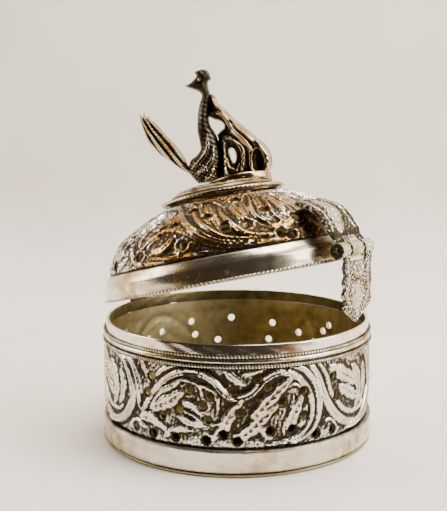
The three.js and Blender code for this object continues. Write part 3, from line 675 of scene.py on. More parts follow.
# loose ember pan
pan = np.array([(0.0, 2.9), (12, 2.9), (21.6, 2.9), (22.6, 2.2), (23.5, 1.4), (25.5, 1.35), (26.8, 2.9), (32, 5.3), (34.3, 8.9), (36.1, 12.8), (36.75, 13.3), (36.8, 13.9), (36.2, 14.15), (35.4, 14.0), (33.4, 10.4), (31, 6.6), (26, 4.25), (18, 4.05), (9, 4.0), (0.0, 4.0)])
lathe("ember_pan_beaten", pan, 240, M_OLIVE, "ember_pan", "ember_pan", weld=0.0005, step=1.2,
      dr=lambda A, R, Z: np.where(R > 26, wobble(A, (2, 0.10, 1.0), (5, 0.06, 0.2)) + 0.07 * np.sin(A * 22 + Z * 1.1) * np.sin(Z * 0.9), 0),
      dz=lambda A, R, Z: np.where((Z > 3.5) & (R < 26), 0.05 * np.sin(A * 5 + R) * np.sin(R * 0.5), 0), cav=lambda A, R, Z: 0.32 + 0.10 * np.sin(R * 0.9))


# ---------------------------------------------------------------- rear hinge
def shift(c):
    c = np.asarray(c, float)
    return lambda p: p + c


def knuckle(name, x0, x1, r, bore, centre, mat, body, node, place=None, ridges=False):
    prof = rounded([(bore, x0), (r, x0), (r, x1), (bore, x1)], 0.22, 3)
    f = (lambda A, R, Z: np.where(R > r - 0.1, 0.10 * np.sin(A * 9 + Z * 0.8) * np.sin(Z * 3.2), 0)) if ridges else (lambda A, R, Z: np.where(R > r - 0.1, -0.09 * np.exp(-((np.sin((A - 0.6) / 2) * 18) ** 2)) + 0.02 * np.sin(3 * A + Z), 0))
    pl = (lambda p: place(p + np.asarray(centre, float))) if place else shift(centre)
    return lathe(name, prof, 56, mat, body, node, axis="x", dr=f, place=pl,
                 cav=lambda A, R, Z: np.where(R < r - 0.2, 0.7, np.clip(0.2 - 2.5 * f(A, R, Z) + 0.5 * (np.minimum(Z - x0, x1 - Z) < 0.3), 0, 1)))


def arc_plate(name, r0, r1, half_deg, z0, z1, mat, body, node, bearing=180.0):
    nu, nv = 70, 44
    u = np.linspace(-half_deg, half_deg, nu + 1)
    v = np.linspace(z0, z1, nv + 1)
    U, V = np.meshgrid(u, v)
    U, V = U.ravel().copy(), V.ravel().copy()
    k = math.pi / 180 * r1
    corner = 1.6
    ex = np.clip((np.abs(U) * k - (half_deg * k - corner)), 0, corner)
    ez = np.clip((z0 + corner) - V, 0, corner)
    q = np.hypot(ex, ez)
    m = (ex > 0) & (ez > 0)
    g = np.where(m & (q > corner), corner / np.maximum(q, 1e-6), 1)
    U = np.where(m, np.sign(U) * (half_deg * k - corner + ex * g) / k, U)
    V = np.where(m, z0 + corner - ez * g, V)
    ku = np.full(len(U), k)
    quads = grid_quads(nu, nv, False)
    edge = np.minimum(np.minimum(half_deg * k - np.abs(U) * k, V - z0), 9)
    rivets = sum(np.exp(-((np.hypot(U * k - a, V - b) / 0.9) ** 4)) for a, b in ((-6, 33.2), (6, 33.2), (0, 33.2), (-6, 37), (6, 37)))
    r = r1 - 0.3 * np.exp(-(edge / 0.35)) + 0.35 * rivets + 0.05 * np.sin(U * 1.3) * np.sin(V * 1.1)
    a = np.radians(U + bearing)
    out = np.stack([r * np.sin(a), -r * np.cos(a), V], -1)
    inn = np.stack([r0 * np.sin(a), -r0 * np.cos(a), V], -1)
    tone = np.clip(0.25 + 0.5 * np.exp(-edge / 0.5) + 0.3 * np.exp(-((rivets - 0.4) ** 2) / 0.05), 0, 1)
    build(name, np.concatenate([out, inn]), close_shell(quads, len(U)), [], mat, body, node, np.concatenate([tone, tone]), None, 60)


arc_plate("hinge_plate_on_base", 40.95, 41.75, 12.7, 30.9, 44.0, M_PLAIN, "base", "hinge_leaf_base")
for tag, x0, x1 in (("left", -9.2, -3.2), ("right", 3.2, 9.2)):
    knuckle("hinge_knuckle_base_" + tag, x0, x1, 1.7, 1.1, (0, HINGE_Y, HINGE_Z), M_PLAIN, "base", "hinge_leaf_base")
pin = []
for x, r in ((-9.85, 0.0), (-9.85, 0.6), (-9.75, 1.05), (-9.45, 1.15), (-9.35, 0.8), (-4, 0.8), (0, 0.8), (4, 0.8), (9.35, 0.8), (9.45, 1.15), (9.75, 1.05), (9.85, 0.6), (9.85, 0.0)):
    pin.append((r, x))
lathe("hinge_pin_headed", pin, 40, M_PIN, "base", "hinge_pin", axis="x", place=shift((0, HINGE_Y, HINGE_Z)), weld=0.0005, dr=lambda A, R, Z: np.where(R > 0.5, 0.02 * np.sin(3 * A + Z), 0), cav=lambda A, R, Z: np.where(np.abs(Z) > 9.3, 0.2, 0.6))


def strap_piece(name, line, half, width, relief, sign, mat, body, node, dx=0.0, ns=80, nw=60, place=lid_rest):
    """A bent strip of sheet along a line of [distance from the centre line, height above the seam]. width(t) gives its left and right edges."""
    ln = smooth_line(line, 10)
    seg = np.r_[0, np.cumsum(np.hypot(*np.diff(ln, axis=0).T))]
    t = np.linspace(0, 1, ns + 1)
    rho, h = np.interp(t * seg[-1], seg, ln[:, 0]), np.interp(t * seg[-1], seg, ln[:, 1])
    tr, th = np.gradient(rho), np.gradient(h)
    q = np.hypot(tr, th)
    nr, nh = th / q, -tr / q
    flip = np.where(nr * rho + nh * (h + 5) < 0, -1, 1)
    nr, nh = nr * flip, nh * flip
    W, T = np.meshgrid(np.linspace(-1, 1, nw + 1), t)
    lo, hi = width(T)
    X = lo + (hi - lo) * (W + 1) / 2
    J = np.repeat(np.arange(ns + 1), nw + 1)
    X, W, T = X.ravel(), W.ravel(), T.ravel()
    lo, hi = lo.ravel(), hi.ravel()
    edge = np.minimum(np.minimum(X - lo, hi - X), seg[-1] * (1 - T))
    H, tone = relief(X, T * seg[-1], edge)
    o = half + H
    out = np.stack([X + dx, sign * (rho[J] + nr[J] * o), SEAM + h[J] + nh[J] * o], -1)
    inn = np.stack([X + dx, sign * (rho[J] - nr[J] * half), SEAM + h[J] - nh[J] * half], -1)
    quads = grid_quads(nw, ns, False)
    return build(name, place(np.concatenate([out, inn])), close_shell(quads, len(X)), [], mat, body, node, np.concatenate([tone, np.full(len(X), 0.5)]), None, 60)


strap_piece("hinge_plate_on_lid", [[41.5, 8.2], [40.6, 8.6], [39.9, 9.2], [38.5, 11.2], [36.9, 14.1], [34.9, 16.3]], 0.4,
            lambda T: (-9.0 * np.clip((1.02 - T) * 14, 0.25, 1) ** 0.5, 9.0 * np.clip((1.02 - T) * 14, 0.25, 1) ** 0.5),
            lambda x, s, e: (0.25 * sum(np.exp(-((np.hypot(x - a, s - b) / 0.9) ** 4)) for a, b in ((-6, 7), (6, 7), (0, 8))) - 0.2 * np.exp(-e / 0.3), np.clip(0.25 + 0.5 * np.exp(-e / 0.5), 0, 1)),
            1, M_PLAIN, "lid", "hinge_leaf_lid")
knuckle("hinge_knuckle_lid", -2.9, 2.9, 1.7, 1.1, (0, HINGE_Y, HINGE_Z), M_PLAIN, "lid", "hinge_leaf_lid")

# ---------------------------------------------------------------- lid: plain band, rope wire
band = rounded([(39.4, SEAM + 0.0), (40.55, SEAM + 0.0), (40.7, SEAM + 2.4), (40.62, SEAM + 4.7), (40.05, SEAM + 5.9), (38.95, SEAM + 7.6), (37.75, SEAM + 7.35), (38.8, SEAM + 5.4), (39.4, SEAM + 4.3)], 0.3, 2)
lathe("lid_band_plain", band, 320, M_WARM, "lid", "lid_rim_band", place=lid_rest,
      dr=lambda A, R, Z: wobble(A, (2, 0.10, 0.4), (4, 0.06, 1.9), (9, 0.05, 0.7), (17, 0.025, 2.2)) + 0.04 * np.sin(A * 13 + Z * 1.4),
      inside=lambda A, R, Z: np.where(R < 39.45 - np.clip(Z - SEAM - 4.4, 0, 9) * 0.52, 1.0, 0.0), cav=lambda A, R, Z: np.where((Z > SEAM + 7.2), 0.5, 0.05))


def rope_ring():
    rmid, zmid, rr, twists, n = 41.2, SEAM + 0.5, 0.42, 105, 2000
    ang = np.radians(np.linspace(-164, 164, n + 1))
    m = 12
    A, K = np.meshgrid(ang, np.arange(m) * 2 * math.pi / m, indexing="ij")
    g = rr * (0.70 + 0.30 * np.cos(2 * (K - A * twists)))
    R, Z = rmid + g * np.cos(K), zmid + g * np.sin(K)
    P = np.stack([R * np.sin(A), -R * np.cos(A), Z], -1).reshape(-1, 3)
    i, k = np.meshgrid(np.arange(n), np.arange(m), indexing="ij")
    i, k = i.ravel(), k.ravel()
    k2 = (k + 1) % m
    quads = np.stack([i * m + k, (i + 1) * m + k, (i + 1) * m + k2, i * m + k2], -1)
    P = np.concatenate([P, P[:m].mean(0)[None], P[-m:].mean(0)[None]])
    kk = np.arange(m)
    c0, c1 = len(P) - 2, len(P) - 1
    tris = np.concatenate([np.stack([np.full(m, c0), kk, (kk + 1) % m], -1), np.stack([np.full(m, c1), n * m + (kk + 1) % m, n * m + kk], -1)])
    tone = np.append(np.clip(1.0 - g.ravel() / rr * 1.05 + 0.15, 0, 1), [0.5, 0.5])
    build("lid_rope_wire_twisted", lid_rest(P), quads, tris, M_WARM, "lid", "lid_rope_wire", tone, None, 80)


rope_ring()

# ---------------------------------------------------------------- lid: pierced, chased dome
dome_line = smooth_line(DOME, 10)
dome_s = np.r_[0, np.cumsum(np.hypot(*np.diff(dome_line, axis=0).T))] + 8.1
dt = np.gradient(dome_line, axis=0)
dt /= np.linalg.norm(dt, axis=1)[:, None]


def dome_at(s):
    r, h = np.interp(s, dome_s, dome_line[:, 0]), np.interp(s, dome_s, dome_line[:, 1])
    nr, nh = np.interp(s, dome_s, dt[:, 1]), -np.interp(s, dome_s, dt[:, 0])
    q = np.hypot(nr, nh)
    return r, h, nr / q, nh / q


def dome_relief(psi, s, r):
    """Chasing of the dome at bearing psi (degrees in one motif) and distance s up the profile. Distances across shrink with the radius."""
    H = np.zeros(psi.shape)
    S = [
        ([(-88, 33), (-81, 30.6), (-76, 27.4), (-71, 23), (-66, 18.6), (-60, 14.8), (-53, 11.8), (-46, 10.2), (-36, 9.3), (-26, 9.0)], (0.9, 1.25, 0.5), 1.15, 2),
        ([(-70, 32.4), (-67, 27.4), (-62.6, 21.6), (-57, 16.8), (-50.6, 13), (-43, 11.2), (-35, 10.6)], (0.5, 0.9, 0.4), 0.95, 1),
        ([(-64.5, 31), (-62, 26.4), (-58.6, 21), (-54, 16.6)], (0.4, 0.55, 0.3), 0.7, 1),
        ([(-51, 28), (-49.4, 22.6), (-46.6, 17.6), (-42.4, 13.6), (-36, 11.6), (-28, 10.8)], (0.5, 1.0, 0.4), 1.0, 2),
        ([(-47.6, 21), (-44.6, 16.6), (-40.6, 13.4)], (0.3, 0.45, 0.3), 0.6, 1),
        ([(-28.4, 31.6), (-31, 27), (-33.4, 22), (-32.6, 17), (-28, 14)], (0.5, 0.9, 0.4), 0.95, 1),
        ([(-19.6, 30), (-21.4, 25), (-24.4, 20), (-24, 16), (-20, 13.4)], (0.4, 0.8, 0.4), 0.85, 1),
        ([(-10, 32), (-9.2, 26), (-9.4, 20), (-8, 14), (-3, 10), (3, 8.9)], (0.6, 1.1, 0.6), 1.05, 2),
        ([(-98, 9.4), (-92, 12.6), (-86, 16.4), (-80, 18.4), (-72, 18.2), (-65.4, 15.8), (-58, 12.2), (-50, 9.8), (-42, 8.9)], (0.5, 1.0, 0.4), 1.0, 2),
        ([(-90, 20.6), (-84, 20.4), (-79, 24.4), (-77, 29)], (0.4, 0.6, 0.3), 0.7, 1),
        ([(-66, 30.8), (-60, 31.8), (-54, 31.2), (-49, 28)], (0.4, 0.6, 0.3), 0.7, 1),
        ([(-46, 28.6), (-40, 30.6), (-34, 29.6)], (0.4, 0.6, 0.3), 0.7, 1),
        ([(-84, 10.4), (-76, 9.6), (-66, 9.3), (-56, 9.0)], (0.4, 0.6, 0.4), 0.7, 1),
        ([(-20, 30.2), (-15, 27), (-12.6, 22), (-14, 17.4)], (0.4, 0.6, 0.3), 0.7, 1),
    ]
    F = [
        ([(-84, 12.4), (-78, 12.2), (-74, 14.4), (-72, 16.4)], 1.4, 0.85, 3, 7),
        ([(-62, 13), (-66, 10.8), (-73, 10.8)], 1.2, 0.8, 3, 6),
        ([(-79.4, 27), (-76.4, 23.6), (-71.6, 18.6)], 1.3, 0.8, 3, 7),
        ([(-58.6, 29.6), (-56.6, 25), (-54, 20.4), (-50.4, 16)], 1.9, 0.95, 4, 9),
        ([(-42.6, 28), (-41.4, 23), (-39.6, 18.6), (-37.4, 14)], 1.7, 0.95, 4, 9),
        ([(-36.4, 27.6), (-36.6, 23), (-36.6, 18.6)], 1.2, 0.8, 3, 7),
        ([(-25.6, 29.4), (-27.4, 25), (-29, 20.6)], 1.3, 0.8, 3, 7),
        ([(-15.8, 28.6), (-16.8, 23), (-18.6, 17.4)], 1.8, 0.95, 4, 9),
        ([(-30, 13), (-24, 13.2), (-17, 14.6), (-12.4, 18)], 1.3, 0.8, 3, 7),
        ([(-22, 9.8), (-16, 10.4), (-11, 12.6)], 1.2, 0.8, 3, 6),
        ([(-86, 30.6), (-85, 26.4), (-81.4, 22.6)], 1.3, 0.8, 3, 7),
        ([(-6, 30), (-4.6, 25), (-4.6, 19.6), (-3, 14.4)], 1.6, 0.9, 4, 8),
        ([(-88, 14), (-84, 16.4), (-80, 16)], 0.9, 0.6, 2, 5),
    ]
    k = math.pi / 180 * r
    for sh in (-90, 0, 90):
        p = psi + sh
        for pts, w, h, rid in S:
            H = np.maximum(H, warped(stem, p, s, k, pts, (w, h, rid)))
        for pts, w, h, lob, vn in F:
            H = np.maximum(H, warped(leaf, p, s, k, pts, (w, h, lob, vn)))
    D = np.full(psi.shape, 1e9)
    for sh in (-90, 0, 90):
        for pts, w, h, rid in S:
            D = np.minimum(D, warped(lambda x, y, line: flow(x, y, [line]), psi + sh, s, k, pts, (), 1e9))
    lines = 0.20 + 0.15 * np.cos(2 * math.pi * D / 1.4) * np.exp(-D / 4.5) + 0.09 * rough(psi * 0.6, s, 1.3, 5)
    fine = 0.08 * np.cos(2 * math.pi * D / 0.66) + 0.05 * rough(psi * 0.6, s, 0.9, 8)
    return np.where(H > 0.02, np.maximum(H + fine * np.clip(H / 0.4, 0, 1), 0.12), lines), H


def warped(f, p, s, k, pts, rest, empty=0.0):
    """Draws a figure with each point scaled by the dome's radius at its own height, so it keeps its width higher up the
    dome.
    """
    pts = np.asarray(pts, float)
    rm = np.interp(pts[:, 1].mean(), dome_s, dome_line[:, 0]) * math.pi / 180
    c = pts[:, 0].mean()
    x = (p - c) * k
    line = pts.copy()
    line[:, 0] = (pts[:, 0] - c) * np.interp(pts[:, 1], dome_s, dome_line[:, 0]) * math.pi / 180
    m = np.abs(p - c) < 60
    out = np.full(p.shape, empty)
    out[m] = f(x[m], s[m], line, *rest)
    return out


def lid_dome():
    nu, nv = 620, 68
    u = np.arange(nu) * 360.0 / nu - 180
    v = np.linspace(dome_s[0], dome_s[-1], nv + 1)
    U, V = np.meshgrid(u, v)
    U, V = U.ravel(), V.ravel()
    ku = np.interp(V, dome_s, dome_line[:, 0]) * math.pi / 180
    holes = []
    for psi, r in LID_HOLES:
        s = np.interp(-r, -dome_line[:, 0], dome_s)
        for k in range(4):
            holes.append((((psi + 90 * k + 180) % 360) - 180, s, 1.35))
    quads = pierce(grid_quads(nu, nv, True), U, V, holes, ku, 360.0)
    r, h, nr, nh = dome_at(V)
    psi = (U + 100) % 90 - 100
    H, raised = dome_relief(psi, V, r)
    ku2 = r * math.pi / 180
    near_hole = np.full(len(U), 99.0)
    for hu, hv, rr in holes:
        du = (U - hu + 180) % 360 - 180
        near_hole = np.minimum(near_hole, np.hypot(du * ku2, V - hv))
    rim_ = np.clip((near_hole - 1.35) / 0.9, 0, 1)
    H = 0.18 + (H - 0.18) * (0.3 + 0.7 * rim_) + 0.24 * np.exp(-((near_hole - 2.1) / 0.42) ** 2)
    pits = blur(rng.normal(0, 1, (nv + 1, nu)), 1, True).ravel() * 0.18
    H = H + np.where(raised < 0.1, pits * 0.8, pits * 0.3)
    zone = np.clip((V - dome_s[0]) / 0.4, 0, 1) * np.clip((dome_s[-1] - V) / 0.5, 0, 1)
    H = H * zone
    Hg = H.reshape(nv + 1, nu)
    hp = Hg - blur(Hg, 3, True)
    low = raised < 0.1
    edge = np.exp(-(((raised + np.where(low, 9, 0)) / 0.34) ** 2)).reshape(Hg.shape)
    tone = np.clip(0.29 - hp * 2.1 - np.clip(Hg - 0.45, 0, 0.5) * 0.35 + 0.55 * edge + np.where(low.reshape(Hg.shape), 0.22, 0), 0, 1).ravel()
    tone = np.clip(tone + 0.5 * np.exp(-((near_hole - 1.35) / 0.35) ** 2), 0, 1)
    off = -0.25 + np.clip(H, -0.3, 1.2)
    under_strap = (np.abs(U) < 15) & (V < 26)
    off = np.where(under_strap, np.minimum(off, -0.05), off)
    a = np.radians(U)
    wv = wobble(a, (3, 0.08, 0.9), (5, 0.05, 2.1))
    R, Z = r + nr * off + wv, SEAM + h + nh * off
    Ri, Zi = r - nr * 1.25 + wv, SEAM + h - nh * 1.25
    Hb = blur(Hg, 2, True).ravel()
    Ri, Zi = Ri + nr * np.clip(Hb, 0, 1) * 0.3, Zi + nh * np.clip(Hb, 0, 1) * 0.3
    out = np.stack([R * np.sin(a), -R * np.cos(a), Z], -1)
    inn = np.stack([Ri * np.sin(a), -Ri * np.cos(a), Zi], -1)
    n = len(U)
    build("dome_chased", lid_rest(np.concatenate([out, inn])), close_shell(quads, n), [], M_LID, "lid", "lid_dome",
          np.concatenate([tone, np.full(n, 0.25)]), np.concatenate([np.zeros(n), np.ones(n)]), 70)


lid_dome()

k = np.arange(12) * 2 * math.pi / 12
ring = np.stack([18.8 + 0.5 * np.cos(k), SEAM + 26.35 + 0.5 * np.sin(k)], -1)
lathe("shoulder_ring_worn", ring, 420, M_CAP, "lid", "shoulder_ring", place=lid_rest,
      dr=lambda A, R, Z: wobble(A, (2, 0.08, 0.4), (5, 0.06, 1.3)) + 0.04 * np.sin(A * 90 + Z * 3), cav=lambda A, R, Z: np.clip(0.2 + 0.3 * np.sin(A * 90 + Z * 3), 0, 1))

# ---------------------------------------------------------------- cap, seat, fixing
co_ = [(0.02, 30.1)] + [tuple(p) for p in smooth_line(CAP[::-1], 8)[1:]]
ci_ = [(17.2, 25.4), (16.0, 26.25), (14.4, 27.3), (12.0, 28.45), (10, 28.85), (7.9, 29.0), (4, 29.1), (0.02, 29.1)]
cap = np.array([(max(r, 0.0), SEAM + h) for r, h in co_ + ci_])
cap[0, 0] = cap[-1, 0] = 0.0


def cap_lift(A, R, Z):
    top = Z > SEAM + np.interp(R, [0, 8, 12.0, 14.4, 17.2, 18.0], [29.6, 29.5, 28.95, 27.8, 25.8, 25.7])
    h = 0.34 * np.exp(-((R - 17.2) / 0.4) ** 2) + 0.40 * np.exp(-((R - 15.6) / 0.45) ** 2) + 0.30 * np.exp(-((R - 13.9) / 0.4) ** 2) + 0.16 * np.exp(-((R - 12.2) / 0.4) ** 2)
    h = h + 0.07 * np.sin(A * 24 + R * 1.2) * np.exp(-((R - 13) / 2.4) ** 2) + 0.05 * np.sin(A * 3 + 0.5)
    return np.where(top & (R < 17.9), h, 0.0)


lathe("cap_ridged", cap, 300, M_CAP, "lid", "lid_cap", dz=cap_lift, place=lid_rest, weld=0.0005,
      cav=lambda A, R, Z: np.clip(0.45 + 0.4 * np.cos((R - 16.4) * 2 * math.pi / 1.65) * (R > 11.5), 0, 1))
seat = rounded([(2.0, 0.0), (9.5, 0.0), (9.75, 0.35), (9.45, 0.8), (2.0, 0.8)], 0.2, 3)


def seat_skirt(A, R, Z):
    rr = np.hypot(R * np.sin(A) + FINIAL[0], -R * np.cos(A) + FINIAL[1])
    drop = np.interp(rr, [0, 8, 12.4, 15, 18], [30.1, 30.0, 29.5, 28.3, 26.1]) + 0.35 - 30.45
    return np.where(Z < 0.3, np.minimum(drop, 0), 0) + np.where(Z > 0.6, 0.06 * np.sin(R * 3.1 + 2 * np.sin(A * 2)), 0)


lathe("finial_seat_plate", seat, 200, M_CAP, "lid", "finial_seat", place=lambda p: lid_rest(p + np.array([FINIAL[0], FINIAL[1], SEAM + 30.45])),
      dz=seat_skirt, dr=lambda A, R, Z: np.where(R > 8, wobble(A, (2, 0.12, 0.2), (5, 0.10, 1.0), (11, 0.05, 0.4)), 0), cav=lambda A, R, Z: np.where(R > 9, 0.15, 0.5))
st = [(0.0, 0.0), (1.0, 0.0), (1.4, 0.35)] + [(1.4, z) for z in np.arange(0.5, 11.8, 0.12)] + [(1.4, 11.85), (1.0, 12.2), (0.0, 12.2)]
lathe("finial_stud_threaded", st, 30, M_PIN, "lid", "finial_stud", weld=0.0005, place=lambda p: lid_rest(p + np.array([FINIAL[0], FINIAL[1], SEAT_TOP + 4 - 12.2])),
      dr=lambda A, R, Z: np.where((R > 1.3) & (Z < 8), -0.10 + 0.10 * np.sin(2 * math.pi * Z / 0.7 - A), 0), cav=lambda A, R, Z: 0.4 - 0.4 * np.sin(2 * math.pi * Z / 0.7 - A))
washer = rounded([(1.7, 0.0), (3.4, 0.0), (3.4, 0.6), (1.7, 0.6)], 0.14, 2)
lathe("finial_washer_round", washer, 64, M_PIN, "lid", "finial_washer", place=lambda p: lid_rest(p + np.array([FINIAL[0], FINIAL[1], SEAM + 28.2])), dr=lambda A, R, Z: np.where(R > 3, 0.03 * np.sin(5 * A), 0), cav=lambda A, R, Z: np.where(R > 3, 0.15, 0.45))
nut = rounded([(1.7, 0.0), (2.5, 0.0), (2.9, 0.3), (2.9, 1.7), (2.5, 2.0), (1.7, 2.0)], 0.08, 2)
lathe("finial_nut_hex", nut, 72, M_PIN, "lid", "finial_nut", place=lambda p: lid_rest(p + np.array([FINIAL[0], FINIAL[1], SEAM + 25.9])),
      dr=lambda A, R, Z: np.where(R > 2.6, R * math.cos(math.pi / 6) / np.cos(((A + math.pi) % (math.pi / 3)) - math.pi / 6) - R, 0), cav=lambda A, R, Z: np.where(R > 2.6, 0.2, 0.5), sharp=30, step=0.3)


# ---------------------------------------------------------------- hasp
def scaly(x, y, e, seed=0.0):
    """Coarse stamped ground, drawn out lengthways, inside a raised border: height and tone."""
    n = 0.6 * rough(x * 1.5, y, 1.25, 11 + int(seed * 10)) + 0.4 * rough(x * 1.3, y, 0.7, 23 + int(seed * 10))
    h = 0.20 + 0.24 * n
    border = np.exp(-((e - 0.7) / 0.34) ** 2)
    h = np.where(e < 1.2, 0.34 * border + 0.08 * n, h)
    return h, np.clip(0.50 - 0.8 * n, 0, 1)


def strap_relief(x, s, e):
    h, tone = scaly(x, s, e, 0.4)
    f = leaf(x, s, [(-2.5, 2.5), (-0.5, 8), (0.5, 14), (0.2, 19)], 2.6, 0.55, 4, 9)
    f = np.maximum(f, stem(x, s, [(-5.4, 3), (-4.6, 8), (-5.2, 13), (-3.6, 18)], (0.4, 0.6, 0.3), 0.45))
    f = np.maximum(f, stem(x, s, [(5.2, 3), (4.4, 8), (5.2, 13), (3.4, 18)], (0.4, 0.6, 0.3), 0.45))
    H = np.maximum(h, f)
    tone = tone + 0.34 + 0.3 * np.exp(-((s - 2.0) / 1.2) ** 2)
    return H, np.clip(np.where(f > 0.15, 0.12 + 0.42 - 0.7 * f + 0.3 * rough(x, s, 0.8, 9), tone), 0, 1)


def strap_width(T):
    w = 7.0 - 0.5 * np.exp(-((T - 0.08) / 0.06) ** 2) - 0.3 * np.sin(T * 17) ** 2
    end = np.sqrt(np.clip(1 - np.clip((T - 0.88) / 0.125, 0, 1) ** 2.4, 0.02, 1))
    return -w * end, w * end


strap_piece("hasp_strap_chased", [[45.5, 4.9], [45.1, 6.0], [44.1, 8.6], [42.8, 11.4], [41.2, 14.0], [39.2, 15.6], [36.6, 16.9], [34.2, 17.9], [33.2, 18.4]], 0.45, strap_width, strap_relief, -1,
            M_HASP, "lid", "hasp_strap", dx=HASP_X, ns=110, nw=84)
HC = (HASP_X, -HASP_RHO, SEAM + HASP_H)
knuckle("hasp_knuckle_middle", -2.9, 2.9, 2.2, 1.0, HC, M_HASP, "lid", "hasp_strap", place=lid_rest, ridges=True)
strap_piece("hasp_strap_neck", [[45.0, 2.6], [45.9, 3.9], [45.9, 5.0], [45.1, 6.4]], 0.5, lambda T: (-2.75 + 0 * T, 2.75 + 0 * T), lambda x, s, e: (0.08 * np.sin(x * 5), 0.4 + 0.2 * np.sin(x * 5)), -1,
            M_HASP, "lid", "hasp_strap", dx=HASP_X, ns=16, nw=24)
hp_ = [(0.0, -7.5), (0.6, -7.5), (0.9, -7.35), (0.9, -4), (0.9, 0), (0.9, 4), (0.9, 7.35), (0.6, 7.5), (0.0, 7.5)]
lathe("hasp_pin_wire", hp_, 32, M_PIN, "lid", "hasp_pin", axis="x", weld=0.0005, place=lambda p: lid_rest(p + np.array(HC)), dr=lambda A, R, Z: np.where(R > 0.5, 0.02 * np.sin(2 * A + Z), 0), cav=lambda A, R, Z: 0.7 + 0.2 * np.sin(A * 3))
for tag, x0, x1 in (("left", -7.3, -3.2), ("right", 3.2, 7.3)):
    knuckle("hasp_knuckle_" + tag, x0, x1, 2.25, 1.0, lid_rest([list(HC)])[0], M_HASP, "hasp", "hasp_leaf", ridges=True)


def hasp_leaf():
    w, L = 7.0, 20.2
    right = [(3.0, -2.85), (3.3, -2.4), (3.4, -0.5), (w - 0.8, -0.2), (w - 0.1, -2.4), (w - 0.5, -5.4), (w, -8.6), (w - 0.4, -11.6), (w, -14.2), (w - 1.0, -16.2), (w - 2.2, -17.2), (3.4, -18.0), (1.6, -19.2), (0, -L)]
    left = [(-1.8, -19.2), (-3.8, -17.9), (-w + 1.8, -16.8), (-w + 0.5, -15.2), (-w + 0.9, -13.6), (-w, -12.0), (-w + 0.8, -10.2), (-w + 0.1, -8.6), (-w + 0.9, -6.8), (-w + 0.2, -4.8), (-w + 0.8, -2.6), (-w + 0.6, -0.4), (-3.4, -0.5), (-3.3, -2.4), (-3.0, -2.85), (0.0, -2.9)]
    cx, cy = 0.4, -5.4

    def faces(x, y, d):
        h, tone = scaly(x, y, d, 0.0)
        q, an = np.hypot(x - cx, y - cy), np.arctan2(y - cy, x - cx)
        petal = 0.50 * np.clip(1 - (np.abs(q - 1.75) / 1.05) ** 2, 0, 1) * (0.45 + 0.55 * np.abs(np.cos(3 * an)))
        boss = 0.5 * np.sqrt(np.clip(1 - (q / 0.75) ** 2, 0, 1))
        ros = np.maximum(petal, boss)
        h = np.where(q < 2.9, ros, h)
        st_ = [stem(x, y, p, (0.35, 0.55, 0.3), 0.42) for p in (
            [(-4.9, -3.5), (-4.2, -8), (-5.0, -12), (-3.0, -16)], [(4.9, -3.5), (4.4, -8), (5.0, -12), (3.0, -16)],
            [(-1.4, -9), (-2.2, -12), (-0.8, -15.4), (0, -18.4)], [(1.6, -9), (2.4, -12), (0.9, -15.4), (0, -18.4)])]
        f = np.maximum.reduce(st_ + [leaf(x, y, [(0.2, -8.6), (0.1, -12.4), (0, -16.4)], 1.5, 0.45, 3, 8)])
        h = np.where(q < 2.9, h, np.maximum(h, f))
        tone = np.clip(np.where((f > 0.12) & (q > 2.9), 0.38 - 0.7 * f + 0.3 * rough(x, y, 0.8, 4), np.where(q < 2.9, 0.66 - 1.3 * ros, tone)), 0, 1)
        front = 1.85 + h + 0 * d
        front = np.where(d < 0.35, 1.85 - 0.25 * (1 - d / 0.35), front)
        back = 1.25 + np.where(d < 0.3, 0.15 * (1 - d / 0.3), 0)
        return front, back, tone, np.full(len(x), 0.45)

    slab("hasp_leaf_chased", right + left, [], 0.19, faces, lambda p: hasp_rest(np.stack([p[:, 0], -p[:, 2], p[:, 1]], -1)), M_HASP, "hasp", "hasp_leaf")


hasp_leaf()

# ---------------------------------------------------------------- cast bird finial
BODY = [[-16.1, 28.8], [-14.8, 29.5], [-13.3, 30.8], [-12.6, 31.9], [-13.1, 33.0], [-12, 33.6], [-10.5, 33.9], [-8.9, 33.3], [-8.3, 31.9], [-8.0, 30.9], [-8.9, 30], [-8.8, 28.4], [-8.4, 26.3], [-8.8, 23.4], [-9.1, 20.6], [-9.2, 18], [-8.6, 16.1], [-7.5, 14.4], [-6.6, 12.2], [-5.9, 9.7], [-5.6, 6.6], [-6.0, 3.4], [-6.7, -2.4], [-10.8, -2.4], [-14.2, 1.1], [-14.8, 2.8], [-14.2, 5.6], [-12.3, 7.2], [-11.4, 9.1], [-11.7, 11.6], [-12.3, 14.7], [-12.3, 19.1], [-11.7, 22.8], [-10.9, 25.3], [-12, 27.2], [-13.6, 27.8]]
PLUME = [[-7.7, 25.8], [-6.7, 25.9], [-5.6, 24.8], [-4.8, 23.1], [-3, 20.6], [-0.8, 18.4], [1.7, 16.4], [4.5, 14.1], [6.7, 12.2], [8.6, 10.8], [10.2, 8.4], [10.9, 5.9], [10.5, 3.4], [9.5, 1.6], [8.9, -2.4], [-5.9, -2.4], [-5.2, 3.4], [-4.8, 6.6], [-5.1, 9.7], [-5.9, 12.3], [-6.2, 13.5], [-5.2, 14.7], [-4.1, 15.9], [-4.8, 17.3], [-6.6, 18.4], [-8.2, 19.4], [-8.2, 21.6], [-7.9, 23.4]]
PLUME_HOLE = [[-2.5, 8.8], [-1.4, 9.2], [-0.6, 7.8], [-0.5, 5.9], [-1.1, 5], [-2, 6.6]]
TAIL = [[-15.4, 1.7], [-18.6, 3.6], [-21.1, 5.5], [-24.2, 7.7], [-27.3, 11.1], [-28.6, 13.9], [-29.9, 18.1], [-29.8, 19.7], [-29.2, 20.2], [-28, 20], [-27, 18.8], [-25.8, 17.5], [-24.2, 15.9], [-22, 13.4], [-18.6, 9.7], [-16.1, 6.1], [-15.2, 4.1]]
